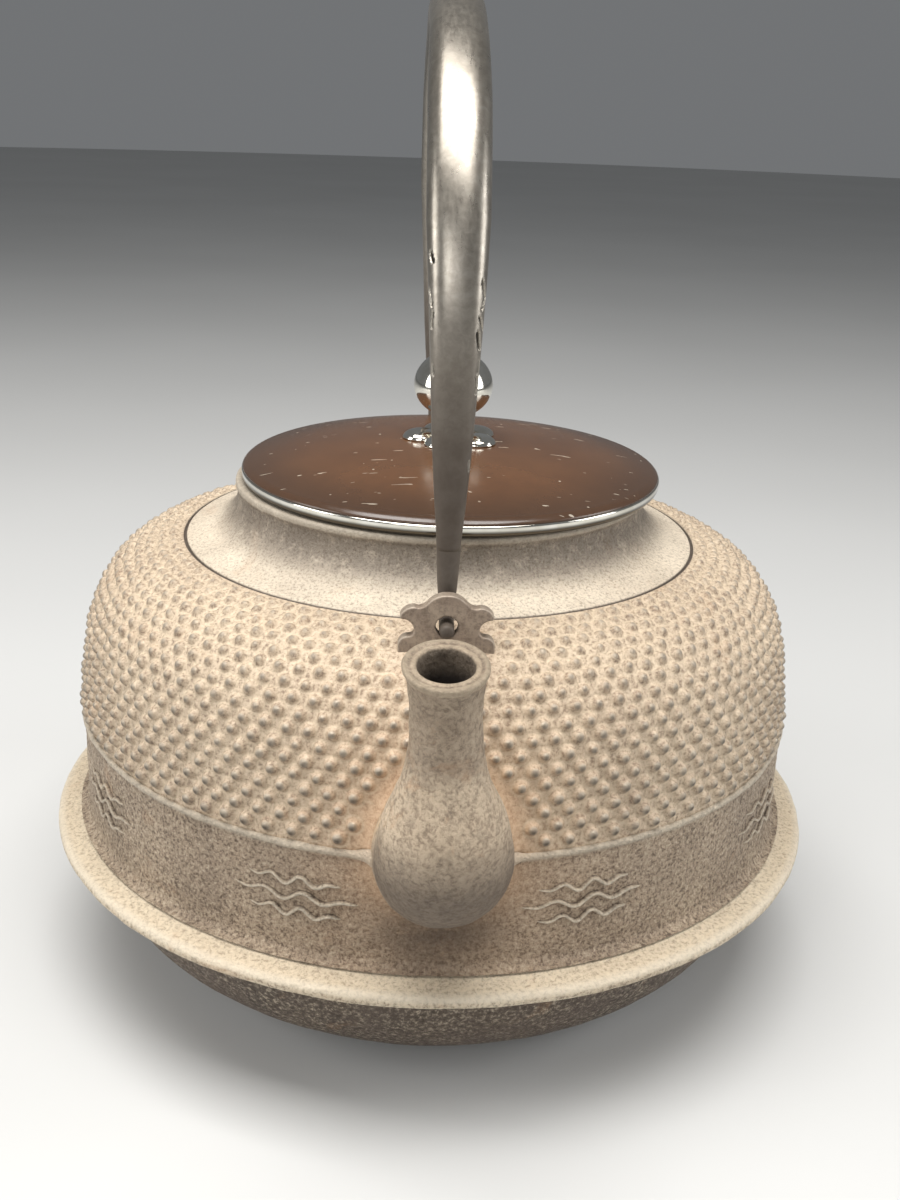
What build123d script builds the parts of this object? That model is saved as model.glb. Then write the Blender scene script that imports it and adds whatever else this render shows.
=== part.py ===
from build123d import *
import math
import os

# Cast iron tea kettle: a waisted casting with a brazier flange, a spout and two lugs let into its
# wall, a bronze lid with a silver rim and a silver ball knob, and a hollow iron bail that swings.
# Millimetres. Origin at the centre of the flat base, +Z up, the spout on the -Y side.

# ------------------------------------------------------------------ driving sizes
BASE_RADIUS = 56.0
BASE_THICKNESS = 3.6
BOWL_RADIUS = 83.9
BOWL_TOP = 31.0

FLANGE_RADIUS = 93.0
FLANGE_UNDERSIDE = 33.5
FLANGE_THICKNESS = 2.9
FLANGE_EDGE = 1.2

WALL_RADIUS = 85.3
WALL_INNER_RADIUS = 81.9
WALL_FOOT = 37.6
BEAD_HEIGHT = 63.2
BEAD_SIZE = 0.6

SHOULDER_RADIUS = 85.0
NECK_RADIUS = 60.4
NECK_HEIGHT = 103.7
GROOVE = 0.4
NECK_WAIST_RADIUS = 48.0
NECK_INNER_RADIUS = 57.6
FLANGE_ROOT_RADIUS = 86.6
NECK_ROOT_RADIUS = 60.3
WALL_TOP = 62.0
MOUTH_RADIUS = 48.35
MOUTH_INNER_RADIUS = 45.5
MOUTH_HEIGHT = 116.9

LID_OFFSET = 2.2
LID_SEAT = 117.0
LID_RIM_RADIUS = 49.2
LID_RIM_INNER_RADIUS = 46.9
LID_RIM_HEIGHT = 2.7
LID_RIM_STEP = 0.85
LID_RIM_TOP_ROUND = 0.4
LID_RIM_FOOT_ROUND = 0.9
LID_EDGE_RADIUS = 49.1
LID_EDGE_HEIGHT = 119.9
LID_ROLL_RADIUS = 46.6
LID_ROLL_MIDDLE = (48.0, 120.64)
LID_DOME_HEIGHT = 126.5
LID_DOME_SPHERE = 205.0
LID_THICKNESS = 2.4
LID_LAND_RADIUS = 12.6
COLLAR_RADIUS = 43.0
COLLAR_THICKNESS = 1.9
COLLAR_DEPTH = 6.0

SEAT_BOTTOM = 126.1
SEAT_PLATE = 0.7
PETAL_COUNT = 5
PETAL_DISTANCE = 7.1
PETAL_RADIUS = 4.3
PETAL_RISE = 1.6

KNOB_RADIUS = 9.2
KNOB_CENTRE = 138.9
KNOB_RISE = 8.1
KNOB_DROP = 7.5
KNOB_NECK_RADIUS = 3.2
KNOB_PIN_RADIUS = 1.5
PIN_CLEARANCE = 0.06
KNOB_PLAY = 0.15
WASHER_RADIUS = 4.5
WASHER_THICKNESS = 0.8

LUG_FACE = 70.0
LUG_THICKNESS = 2.6
LUG_HOLE_HEIGHT = 105.7
LUG_HOLE_RADIUS = 2.15
LUG_FOOT = 97.0
LUG_TENON_WIDTH = 9.0
LUG_TENON_THICKNESS = 1.6
LUG_TENON_DEPTH = 2.2

PEG_RADIUS = 1.5
PEG_GAP = 0.08
HINGE_HEIGHT = LUG_HOLE_HEIGHT - (LUG_HOLE_RADIUS - PEG_RADIUS - PEG_GAP)
PEG_END = 71.8
PEG_BEND = 2.2

BAIL_HALF_SPAN = 64.4
BAIL_JOIN = 120.0
BAIL_ARCH_CENTRE = 154.7
BAIL_WALL = 1.0

SPOUT_BASE_Z = 65.0
SPOUT_SPIGOT_X = 9.5
SPOUT_SPIGOT_Z = 10.5
SPOUT_WALL = 2.5
SPOUT_INSIDE = 79.0

os.makedirs("parts", exist_ok=True)


# ------------------------------------------------------------------ the casting's outline
def bowl_and_flange_outline():
    """Outer outline from the axis at the base, up the bowl, round the flange to the bead."""
    flange_top = FLANGE_UNDERSIDE + FLANGE_THICKNESS
    Line((0, 0), (BASE_RADIUS, 0))
    Bezier((BASE_RADIUS, 0), (71.0, 5.7), (BOWL_RADIUS, 16.7), (BOWL_RADIUS, BOWL_TOP))
    FilletPolyline(
        (BOWL_RADIUS, BOWL_TOP),
        (BOWL_RADIUS, FLANGE_UNDERSIDE),
        (FLANGE_RADIUS, FLANGE_UNDERSIDE),
        (FLANGE_RADIUS, flange_top),
        (WALL_RADIUS, WALL_FOOT),
        (WALL_RADIUS, BEAD_HEIGHT - BEAD_SIZE),
        radius=FLANGE_EDGE,
    )
    ThreePointArc(
        (WALL_RADIUS, BEAD_HEIGHT - BEAD_SIZE),
        (WALL_RADIUS + BEAD_SIZE, BEAD_HEIGHT),
        (SHOULDER_RADIUS, BEAD_HEIGHT + BEAD_SIZE),
    )


def shoulder_outline():
    """Outer outline from the bead, over the shoulder, to the incised line round the neck."""
    line_outer = (NECK_RADIUS + GROOVE, NECK_HEIGHT - 0.1)
    line_inner = (NECK_RADIUS - GROOVE, NECK_HEIGHT + 0.1)
    Bezier((SHOULDER_RADIUS, BEAD_HEIGHT + BEAD_SIZE), (82.6, 80.2), (85.6, 98.5), line_outer)
    Polyline(line_outer, (NECK_RADIUS - 0.1, NECK_HEIGHT - GROOVE), line_inner)


def neck_outline():
    """Outer outline from the incised line, up the hollow neck, to the inner edge of the mouth."""
    Bezier(
        (NECK_RADIUS - GROOVE, NECK_HEIGHT + 0.1),
        (53.5, 105.0),
        (48.2, 108.6),
        (NECK_WAIST_RADIUS, MOUTH_HEIGHT - 2.9),
    )
    Polyline(
        (NECK_WAIST_RADIUS, MOUTH_HEIGHT - 2.9),
        (MOUTH_RADIUS, MOUTH_HEIGHT - 0.9),
        (MOUTH_RADIUS - 0.5, MOUTH_HEIGHT),
        (MOUTH_INNER_RADIUS, MOUTH_HEIGHT),
    )


def cavity_outline():
    """Inner outline from the mouth, down the neck, shoulder, wall and bowl, to the axis."""
    throat = (MOUTH_INNER_RADIUS, MOUTH_HEIGHT - 4.9)
    under_neck = (NECK_INNER_RADIUS, 100.2)
    wall_top = (WALL_INNER_RADIUS, 63.0)
    wall_foot = (WALL_INNER_RADIUS, 36.0)
    floor_edge = (52.0, BASE_THICKNESS)
    Line((MOUTH_INNER_RADIUS, MOUTH_HEIGHT), throat)
    Bezier(throat, (45.7, 106.0), (51.0, 101.6), under_neck)
    Bezier(under_neck, (81.9, 95.4), (79.2, 80.0), wall_top)
    Line(wall_top, wall_foot)
    Bezier(wall_foot, (WALL_INNER_RADIUS, 19.0), (70.0, 7.5), floor_edge)
    Line(floor_edge, (0, BASE_THICKNESS))


# The outside of the casting as a solid, used only to fit the spout and the lugs to its surface.
with BuildPart() as casting_outside:
    with BuildSketch(Plane.XZ):
        with BuildLine():
            bowl_and_flange_outline()
            shoulder_outline()
            neck_outline()
            Polyline((MOUTH_INNER_RADIUS, MOUTH_HEIGHT), (0, MOUTH_HEIGHT), (0, 0))
        make_face()
    revolve(axis=Axis.Z)


# ------------------------------------------------------------------ the whole casting
with BuildPart() as casting:
    with BuildSketch(Plane.XZ):
        with BuildLine():
            bowl_and_flange_outline()
            shoulder_outline()
            neck_outline()
            cavity_outline()
            Line((0, BASE_THICKNESS), (0, 0))
        make_face()
    revolve(axis=Axis.Z)
    # opening behind the spout
    with BuildSketch(Plane.XZ.offset(SPOUT_INSIDE)):
        with Locations((0, SPOUT_BASE_Z)):
            Ellipse(SPOUT_SPIGOT_X, SPOUT_SPIGOT_Z)
    extrude(amount=FLANGE_RADIUS - SPOUT_INSIDE, mode=Mode.SUBTRACT)
    # pockets for the lug tenons
    lug_middle = LUG_FACE - LUG_THICKNESS / 2
    shoulder_at_lug = 100.9
    with Locations((0, -lug_middle, shoulder_at_lug), (0, lug_middle, shoulder_at_lug)):
        Box(LUG_TENON_WIDTH, LUG_TENON_THICKNESS, 2 * LUG_TENON_DEPTH, mode=Mode.SUBTRACT)


# ------------------------------------------------------------------ its zones, from the base upwards
with BuildPart() as bowl:
    add(casting.part)
    with Locations((0, 0, FLANGE_UNDERSIDE / 2)):
        Cylinder(FLANGE_RADIUS, FLANGE_UNDERSIDE, mode=Mode.INTERSECT)

with BuildPart() as flange:
    add(casting.part)
    with Locations((0, 0, WALL_FOOT)):
        Cylinder(FLANGE_RADIUS + 1, 2 * (WALL_FOOT - FLANGE_UNDERSIDE), mode=Mode.INTERSECT)
        Cylinder(FLANGE_ROOT_RADIUS, 4 * (WALL_FOOT - FLANGE_UNDERSIDE), mode=Mode.SUBTRACT)

with BuildPart() as wall:
    add(casting.part)
    with Locations((0, 0, (FLANGE_UNDERSIDE + WALL_TOP) / 2)):
        Cylinder(FLANGE_ROOT_RADIUS, WALL_TOP - FLANGE_UNDERSIDE, mode=Mode.INTERSECT)

with BuildPart() as shoulder:
    add(casting.part)
    with Locations((0, 0, (WALL_TOP + MOUTH_HEIGHT) / 2)):
        Cylinder(FLANGE_RADIUS, MOUTH_HEIGHT - WALL_TOP, mode=Mode.INTERSECT)
        Cylinder(NECK_ROOT_RADIUS, MOUTH_HEIGHT, mode=Mode.SUBTRACT)

with BuildPart() as neck:
    add(casting.part)
    with Locations((0, 0, (NECK_HEIGHT + MOUTH_HEIGHT) / 2)):
        Cylinder(NECK_ROOT_RADIUS, MOUTH_HEIGHT - WALL_TOP, mode=Mode.INTERSECT)


# ------------------------------------------------------------------ spout
# Rows from the wall to the mouth: (distance out, height, tilt from level, half width, half depth)
SPOUT_ROWS = [
    (80.0, 65.0, 0, 13.6, 15.2),
    (86.0, 65.4, 6, 13.7, 15.0),
    (92.2, 67.6, 26, 13.4, 12.8),
    (97.4, 73.2, 52, 12.7, 12.0),
    (100.2, 81.0, 74, 11.2, 10.6),
    (101.2, 88.5, 82, 8.3, 8.2),
    (101.7, 94.5, 84, 6.9, 6.9),
    (102.3, 100.5, 83, 6.45, 6.45),
    (103.2, 107.5, 80, 6.6, 6.6),
    (104.1, 112.3, 77, 7.5, 7.4),
]
SPOUT_BORE_MOUTH = 4.95
SPOUT_LEAN_FOOT = 72.0
SPOUT_LEAN = 0.029


def spout_plane(out, height, tilt):
    """Plane across the spout's centreline, which leans a little to -X, with its normal along the flow."""
    flow = (0, -math.cos(math.radians(tilt)), math.sin(math.radians(tilt)))
    sideways = -SPOUT_LEAN * max(height - SPOUT_LEAN_FOOT, 0.0)
    return Plane(origin=(sideways, -out, height), x_dir=(1, 0, 0), z_dir=flow)


with BuildPart() as spout:
    for out, height, tilt, half_width, half_depth in SPOUT_ROWS:
        with BuildSketch(spout_plane(out, height, tilt)):
            Ellipse(half_width, half_depth)
    loft()
    add(casting_outside.part, mode=Mode.SUBTRACT)
    # spigot through the kettle's wall
    with BuildSketch(Plane.XZ.offset(WALL_INNER_RADIUS - 0.6)):
        with Locations((0, SPOUT_BASE_Z)):
            Ellipse(SPOUT_SPIGOT_X, SPOUT_SPIGOT_Z)
    extrude(amount=6.0)
    # bore
    for out, height, tilt, half_width, half_depth in SPOUT_ROWS:
        at_mouth = height > SPOUT_ROWS[-2][1]
        bore_width = SPOUT_BORE_MOUTH if at_mouth else half_width - SPOUT_WALL
        bore_depth = SPOUT_BORE_MOUTH if at_mouth else half_depth - SPOUT_WALL
        if out < WALL_RADIUS + 1:
            bore_width = SPOUT_SPIGOT_X - SPOUT_WALL
            bore_depth = SPOUT_SPIGOT_Z - SPOUT_WALL
        with BuildSketch(spout_plane(out, height, tilt)):
            Ellipse(max(bore_width, 4.4), max(bore_depth, 4.4))
    loft(mode=Mode.SUBTRACT)


# ------------------------------------------------------------------ lugs
def lug_outline():
    """Cloud-shaped outline of a lug, drawn as its right half and mirrored."""
    Line((0, LUG_FOOT), (9.5, LUG_FOOT))
    Line((9.5, LUG_FOOT), (9.5, 101.4))
    ThreePointArc((9.5, 101.4), (9.0, 103.0), (7.4, 103.65))
    ThreePointArc((7.4, 103.65), (6.6, 104.1), (6.4, 105.0))
    ThreePointArc((6.4, 105.0), (7.1, 106.5), (8.5, 107.15))
    ThreePointArc((8.5, 107.15), (9.1, 107.4), (9.15, 107.9))
    ThreePointArc((9.15, 107.9), (8.1, 109.2), (6.4, 109.7))
    Polyline((6.4, 109.7), (4.6, 109.7), (3.95, 110.3))
    ThreePointArc((3.95, 110.3), (2.2, 111.75), (0, 112.2))
    mirror(about=Plane.YZ)


with BuildPart() as lug_front:
    with BuildSketch(Plane.XZ.offset(LUG_FACE - LUG_THICKNESS)):
        with BuildLine():
            lug_outline()
        make_face()
        with Locations((0, LUG_HOLE_HEIGHT)):
            Circle(LUG_HOLE_RADIUS, mode=Mode.SUBTRACT)
    extrude(amount=LUG_THICKNESS)
    add(casting_outside.part, mode=Mode.SUBTRACT)
    # tenon let into the casting
    tenon_height = 1.5 + LUG_TENON_DEPTH
    tenon_middle = shoulder_at_lug - LUG_TENON_DEPTH + tenon_height / 2
    with Locations((0, -lug_middle, tenon_middle)):
        Box(LUG_TENON_WIDTH, LUG_TENON_THICKNESS, tenon_height)

with BuildPart() as lug_rear:
    mirror(lug_front.part, about=Plane.XZ)


# ------------------------------------------------------------------ lid
def lid_dome(radius):
    """Height of the lid's top face at a radius."""
    return LID_DOME_HEIGHT - LID_DOME_SPHERE + math.sqrt(LID_DOME_SPHERE**2 - radius**2)


lid_under = LID_SEAT + LID_RIM_STEP
rim_top = LID_SEAT + LID_RIM_HEIGHT
pin_hole = KNOB_PIN_RADIUS + PIN_CLEARANCE
pin_land = SEAT_BOTTOM - LID_THICKNESS + 0.2
under_edge = COLLAR_RADIUS - COLLAR_THICKNESS - 0.5

with BuildPart() as lid_disc:
    with BuildSketch(Plane.XZ):
        with BuildLine():
            Line((pin_hole, SEAT_BOTTOM), (LID_LAND_RADIUS, SEAT_BOTTOM))
            Line((LID_LAND_RADIUS, SEAT_BOTTOM), (LID_LAND_RADIUS + 0.2, lid_dome(LID_LAND_RADIUS + 0.2)))
            ThreePointArc(
                (LID_LAND_RADIUS + 0.2, lid_dome(LID_LAND_RADIUS + 0.2)),
                (32.0, lid_dome(32.0)),
                (LID_ROLL_RADIUS, lid_dome(LID_ROLL_RADIUS)),
            )
            ThreePointArc(
                (LID_ROLL_RADIUS, lid_dome(LID_ROLL_RADIUS)),
                LID_ROLL_MIDDLE,
                (LID_EDGE_RADIUS, LID_EDGE_HEIGHT),
            )
            Polyline(
                (LID_EDGE_RADIUS, LID_EDGE_HEIGHT),
                (LID_EDGE_RADIUS, rim_top),
                (LID_RIM_INNER_RADIUS, rim_top),
                (LID_RIM_INNER_RADIUS, lid_under),
                (under_edge, lid_under),
            )
            ThreePointArc((under_edge, lid_under), (25.0, lid_dome(25.0) - LID_THICKNESS), (6.0, pin_land))
            Polyline((6.0, pin_land), (pin_hole, pin_land), (pin_hole, SEAT_BOTTOM))
        make_face()
    revolve(axis=Axis.Z)

with BuildPart() as lid_rim:
    with BuildSketch(Plane.XY.offset(LID_SEAT)):
        Circle(LID_RIM_RADIUS)
        Circle(LID_RIM_INNER_RADIUS, mode=Mode.SUBTRACT)
    extrude(amount=LID_RIM_HEIGHT)
    fillet(lid_rim.edges().group_by(Axis.Z)[-1].sort_by(SortBy.LENGTH)[-1], radius=LID_RIM_TOP_ROUND)
    fillet(lid_rim.edges().group_by(Axis.Z)[0].sort_by(SortBy.LENGTH)[-1], radius=LID_RIM_FOOT_ROUND)

with BuildPart() as lid_collar:
    with BuildSketch(Plane.XY.offset(lid_under)):
        Circle(COLLAR_RADIUS)
        Circle(COLLAR_RADIUS - COLLAR_THICKNESS, mode=Mode.SUBTRACT)
    extrude(amount=-COLLAR_DEPTH)
    chamfer(lid_collar.edges().group_by(Axis.Z)[0], length=0.4)


# ------------------------------------------------------------------ knob seat
petal_sphere = (PETAL_RADIUS**2 + PETAL_RISE**2) / (2 * PETAL_RISE)
seat_top = SEAT_BOTTOM + SEAT_PLATE + PETAL_RISE

# One domed petal at the origin, repeated round the seat.
with BuildPart() as petal:
    with BuildSketch(Plane.XZ):
        with BuildLine():
            Polyline((0, seat_top), (0, SEAT_BOTTOM), (PETAL_RADIUS, SEAT_BOTTOM))
            Line((PETAL_RADIUS, SEAT_BOTTOM), (PETAL_RADIUS, SEAT_BOTTOM + SEAT_PLATE))
            RadiusArc((PETAL_RADIUS, SEAT_BOTTOM + SEAT_PLATE), (0, seat_top), -petal_sphere)
        make_face()
    revolve(axis=Axis.Z)

with BuildPart() as knob_seat:
    with BuildSketch(Plane.XY.offset(SEAT_BOTTOM)):
        Circle(PETAL_DISTANCE - 1.0)
    extrude(amount=SEAT_PLATE + 0.4)
    with PolarLocations(PETAL_DISTANCE, PETAL_COUNT, start_angle=180):
        add(petal.part)
    with BuildSketch(Plane.XY.offset(SEAT_BOTTOM)):
        Circle(KNOB_NECK_RADIUS + 0.8)
    extrude(amount=SEAT_PLATE + PETAL_RISE)
    with BuildSketch(Plane.XY.offset(SEAT_BOTTOM)):
        Circle(pin_hole)
    extrude(amount=SEAT_PLATE + PETAL_RISE + 1.0, mode=Mode.SUBTRACT)


# ------------------------------------------------------------------ knob, its pin and washer
neck_bottom = seat_top + KNOB_PLAY
pin_top = KNOB_CENTRE - 3.0
washer_top = pin_land - KNOB_PLAY
washer_bottom = washer_top - WASHER_THICKNESS
ROUND = 0.5523  # handle length that makes a cubic curve follow a quarter of an ellipse


def knob_quarter(rise):
    """Quarter of the knob's flattened round, from its widest point to the axis."""
    Bezier(
        (KNOB_RADIUS, KNOB_CENTRE),
        (KNOB_RADIUS, KNOB_CENTRE + ROUND * rise),
        (ROUND * KNOB_RADIUS, KNOB_CENTRE + rise),
        (0, KNOB_CENTRE + rise),
    )


with BuildPart() as knob_ball:
    with BuildSketch(Plane.XZ):
        with BuildLine():
            knob_quarter(KNOB_RISE)
            knob_quarter(-KNOB_DROP)
            Line((0, KNOB_CENTRE + KNOB_RISE), (0, KNOB_CENTRE - KNOB_DROP))
        make_face()
    revolve(axis=Axis.Z)
    # hollow-sided neck down to the seat
    with BuildSketch(Plane.XZ):
        with BuildLine():
            Polyline((0, KNOB_CENTRE), (KNOB_NECK_RADIUS, KNOB_CENTRE - KNOB_DROP + 0.4))
            ThreePointArc(
                (KNOB_NECK_RADIUS, KNOB_CENTRE - KNOB_DROP + 0.4),
                (KNOB_NECK_RADIUS - 0.6, (KNOB_CENTRE - KNOB_DROP + neck_bottom) / 2),
                (KNOB_NECK_RADIUS + 0.4, neck_bottom),
            )
            Polyline((KNOB_NECK_RADIUS + 0.4, neck_bottom), (0, neck_bottom), (0, KNOB_CENTRE))
        make_face()
    revolve(axis=Axis.Z)
    with BuildSketch(Plane.XY.offset(neck_bottom)):
        Circle(KNOB_PIN_RADIUS)
    extrude(amount=pin_top - neck_bottom, mode=Mode.SUBTRACT)

with BuildPart() as knob_pin:
    head_radius = KNOB_PIN_RADIUS + 1.0
    with BuildSketch(Plane.XY.offset(washer_bottom)):
        Circle(KNOB_PIN_RADIUS)
    extrude(amount=pin_top - washer_bottom)
    with BuildSketch(Plane.XY.offset(washer_bottom)):
        Circle(head_radius)
    extrude(amount=-1.0)
    fillet(knob_pin.edges().sort_by(Axis.Z)[0], radius=0.7)

with BuildPart() as knob_washer:
    with BuildSketch(Plane.XY.offset(washer_bottom)):
        Circle(WASHER_RADIUS)
        Circle(KNOB_PIN_RADIUS, mode=Mode.SUBTRACT)
    extrude(amount=WASHER_THICKNESS)


# ------------------------------------------------------------------ bail
# Rows from a leg's foot towards the crown: (distance along the bail, half width, half depth)
BAIL_ROWS = [
    (0.0, 2.35, 2.4),
    (4.0, 2.6, 2.65),
    (9.0, 3.05, 3.0),
    (22.0, 3.95, 3.6),
    (40.0, 4.85, 4.2),
    (62.0, 5.95, 4.6),
    (88.0, 6.1, 4.9),
    (112.0, 5.8, 5.0),
]

with BuildLine(Plane.YZ) as bail_path:
    Line((-BAIL_HALF_SPAN, BAIL_JOIN), (-BAIL_HALF_SPAN, BAIL_ARCH_CENTRE))
    ThreePointArc(
        (-BAIL_HALF_SPAN, BAIL_ARCH_CENTRE),
        (0, BAIL_ARCH_CENTRE + BAIL_HALF_SPAN),
        (BAIL_HALF_SPAN, BAIL_ARCH_CENTRE),
    )
    Line((BAIL_HALF_SPAN, BAIL_ARCH_CENTRE), (BAIL_HALF_SPAN, BAIL_JOIN))

bail_line = bail_path.wires()[0]
bail_length = bail_line.length


def bail_rows(first):
    """Rows along the whole bail: one leg, then the other in reverse."""
    near_leg = BAIL_ROWS[first:]
    far_leg = [(bail_length - d, width, depth) for d, width, depth in reversed(near_leg)]
    return near_leg + far_leg


def bail_section_plane(distance):
    """Plane across the bail at a distance along it."""
    place = bail_line.position_at(distance, position_mode=PositionMode.LENGTH)
    along = bail_line.tangent_at(distance, position_mode=PositionMode.LENGTH)
    return Plane(origin=place, x_dir=(1, 0, 0), z_dir=along)


def bail_flank_plane(distance, side, outward):
    """Plane facing sideways out of the bail's flank, its X along the bail."""
    place = bail_line.position_at(distance, position_mode=PositionMode.LENGTH)
    along = bail_line.tangent_at(distance, position_mode=PositionMode.LENGTH)
    away = along.cross(Vector(1, 0, 0)).normalized()
    if away.dot(Vector(0, place.Y, place.Z - BAIL_ARCH_CENTRE)) < 0:
        away = -away
    middle = place + away * outward + Vector(side * 2.5, 0, 0)
    return Plane(origin=middle, x_dir=along, z_dir=(side, 0, 0))


# Openings eaten through the flanks: (distance, side, outward, length, width, turn in degrees)
BAIL_OPENINGS = [
    (34.0, 1, 2.4, 6.5, 1.3, -3),
    (40.0, 1, 2.0, 3.0, 1.2, 12),
    (45.0, 1, 2.8, 5.0, 1.5, -16),
    (51.5, 1, 2.2, 5.0, 1.3, 20),
    (35.5, -1, 2.6, 3.5, 1.3, -10),
    (46.0, -1, 2.0, 4.5, 1.3, 10),
    (55.0, -1, 2.6, 4.0, 1.2, -4),
    (17.0, 1, 1.4, 2.4, 1.1, 8),
]

with BuildPart() as bail_tube:
    for distance, half_width, half_depth in bail_rows(0):
        with BuildSketch(bail_section_plane(distance)):
            Ellipse(half_width, half_depth)
    loft()
    for distance, half_width, half_depth in bail_rows(1):
        with BuildSketch(bail_section_plane(distance)):
            Ellipse(half_width - BAIL_WALL, half_depth - BAIL_WALL)
    loft(mode=Mode.SUBTRACT)
    for distance, side, outward, length, width, turn in BAIL_OPENINGS:
        for place, flank in ((distance, side), (bail_length - distance, -side)):
            with BuildSketch(bail_flank_plane(place, flank, outward)):
                SlotOverall(length, width, rotation=turn)
            extrude(amount=8.0, mode=Mode.SUBTRACT)


# Solid foot of the bail: a tapered shank, a bend and a peg out through the lug's hole.
bend_top = HINGE_HEIGHT + PEG_BEND
peg_start = BAIL_HALF_SPAN + PEG_BEND
bend_corner = PEG_BEND * math.cos(math.radians(45))
SHANK_ROWS = [
    (BAIL_JOIN, BAIL_ROWS[0][1], BAIL_ROWS[0][2]),
    ((BAIL_JOIN + bend_top) / 2, 1.95, 2.05),
    (bend_top, PEG_RADIUS, PEG_RADIUS),
]

with BuildPart() as bail_hook_front:
    for height, half_width, half_depth in SHANK_ROWS:
        with BuildSketch(Plane.XY.offset(height)):
            with Locations((0, -BAIL_HALF_SPAN)):
                Ellipse(half_width, half_depth)
    loft()
    with BuildLine(Plane.YZ) as peg_path:
        ThreePointArc(
            (-BAIL_HALF_SPAN, bend_top),
            (bend_corner - peg_start, bend_top - bend_corner),
            (-peg_start, HINGE_HEIGHT),
        )
        Line((-peg_start, HINGE_HEIGHT), (-PEG_END, HINGE_HEIGHT))
    with BuildSketch(Plane(origin=(0, -BAIL_HALF_SPAN, bend_top), x_dir=(1, 0, 0), z_dir=(0, 0, -1))):
        Circle(PEG_RADIUS)
    sweep(path=peg_path.wires()[0])
    fillet(bail_hook_front.edges().sort_by(Axis.Y)[0], radius=0.9)

with BuildPart() as bail_hook_rear:
    mirror(bail_hook_front.part, about=Plane.XZ)


# ------------------------------------------------------------------ labels and files
bowl.part.label = "bowl"
export_step(bowl.part, "parts/bowl.step")
flange.part.label = "flange"
export_step(flange.part, "parts/flange.step")
wall.part.label = "wall"
export_step(wall.part, "parts/wall.step")
shoulder.part.label = "shoulder"
export_step(shoulder.part, "parts/shoulder.step")
neck.part.label = "neck"
export_step(neck.part, "parts/neck.step")
spout.part.label = "spout"
export_step(spout.part, "parts/spout.step")
lug_front.part.label = "lug_front"
export_step(lug_front.part, "parts/lug_front.step")
lug_rear.part.label = "lug_rear"
export_step(lug_rear.part, "parts/lug_rear.step")
bail_tube.part.label = "bail_tube"
export_step(bail_tube.part, "parts/bail_tube.step")
bail_hook_front.part.label = "bail_hook_front"
export_step(bail_hook_front.part, "parts/bail_hook_front.step")
bail_hook_rear.part.label = "bail_hook_rear"
export_step(bail_hook_rear.part, "parts/bail_hook_rear.step")

# The loose lid, and the knob on it, rest a little to one side of the mouth.
lid_place = Location((LID_OFFSET, 0, 0))
lid_disc_placed = lid_place * lid_disc.part
lid_disc_placed.label = "lid_disc"
export_step(lid_disc_placed, "parts/lid_disc.step")
lid_rim_placed = lid_place * lid_rim.part
lid_rim_placed.label = "lid_rim"
export_step(lid_rim_placed, "parts/lid_rim.step")
lid_collar_placed = lid_place * lid_collar.part
lid_collar_placed.label = "lid_collar"
export_step(lid_collar_placed, "parts/lid_collar.step")
knob_seat_placed = lid_place * knob_seat.part
knob_seat_placed.label = "knob_seat"
export_step(knob_seat_placed, "parts/knob_seat.step")
knob_ball_placed = lid_place * knob_ball.part
knob_ball_placed.label = "knob_ball"
export_step(knob_ball_placed, "parts/knob_ball.step")
knob_pin_placed = lid_place * knob_pin.part
knob_pin_placed.label = "knob_pin"
export_step(knob_pin_placed, "parts/knob_pin.step")
knob_washer_placed = lid_place * knob_washer.part
knob_washer_placed.label = "knob_washer"
export_step(knob_washer_placed, "parts/knob_washer.step")
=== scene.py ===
import math

import bpy
import numpy as np
from mathutils import Matrix, Vector


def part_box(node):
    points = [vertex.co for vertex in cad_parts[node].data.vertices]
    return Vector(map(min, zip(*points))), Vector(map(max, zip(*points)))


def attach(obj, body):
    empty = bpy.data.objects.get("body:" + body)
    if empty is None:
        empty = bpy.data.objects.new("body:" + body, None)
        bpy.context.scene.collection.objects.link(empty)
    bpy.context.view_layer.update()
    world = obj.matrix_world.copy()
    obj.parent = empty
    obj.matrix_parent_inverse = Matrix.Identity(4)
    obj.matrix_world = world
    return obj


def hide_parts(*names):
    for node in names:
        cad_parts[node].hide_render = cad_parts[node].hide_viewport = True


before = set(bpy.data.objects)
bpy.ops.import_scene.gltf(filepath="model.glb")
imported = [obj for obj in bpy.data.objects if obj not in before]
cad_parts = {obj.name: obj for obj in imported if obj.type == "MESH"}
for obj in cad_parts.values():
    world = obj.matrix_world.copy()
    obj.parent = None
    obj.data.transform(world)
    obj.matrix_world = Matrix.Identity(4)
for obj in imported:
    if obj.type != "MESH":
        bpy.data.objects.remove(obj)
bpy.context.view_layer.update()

# Looks of the cast iron kettle. Lengths are written in millimetres and turned to metres by MM.
MM = 0.001
SEED = 11


# ------------------------------------------------------------------ camera
def add_camera():
    """Camera in front of the spout, a little above the lid, looking down at the kettle."""
    position = Vector((-9.5, -320.0, 204.2)) * MM
    heading, pitch, roll = (math.radians(a) for a in (2.27, 20.35, -2.03))
    forward = Vector((
        math.sin(heading) * math.cos(pitch),
        math.cos(heading) * math.cos(pitch),
        -math.sin(pitch),
    ))
    level = Vector((math.cos(heading), -math.sin(heading), 0.0))
    down = forward.cross(level)
    right = level * math.cos(roll) + down * math.sin(roll)
    up = -(down * math.cos(roll) - level * math.sin(roll))
    turn = Matrix((right, up, -forward)).transposed().to_4x4()
    data = bpy.data.cameras.new("camera")
    data.sensor_width = 36.0
    data.lens = 41.58
    data.clip_start = 0.01
    camera = bpy.data.objects.new("camera", data)
    camera.matrix_world = Matrix.Translation(position) @ turn
    bpy.context.scene.collection.objects.link(camera)
    bpy.context.scene.camera = camera


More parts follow.
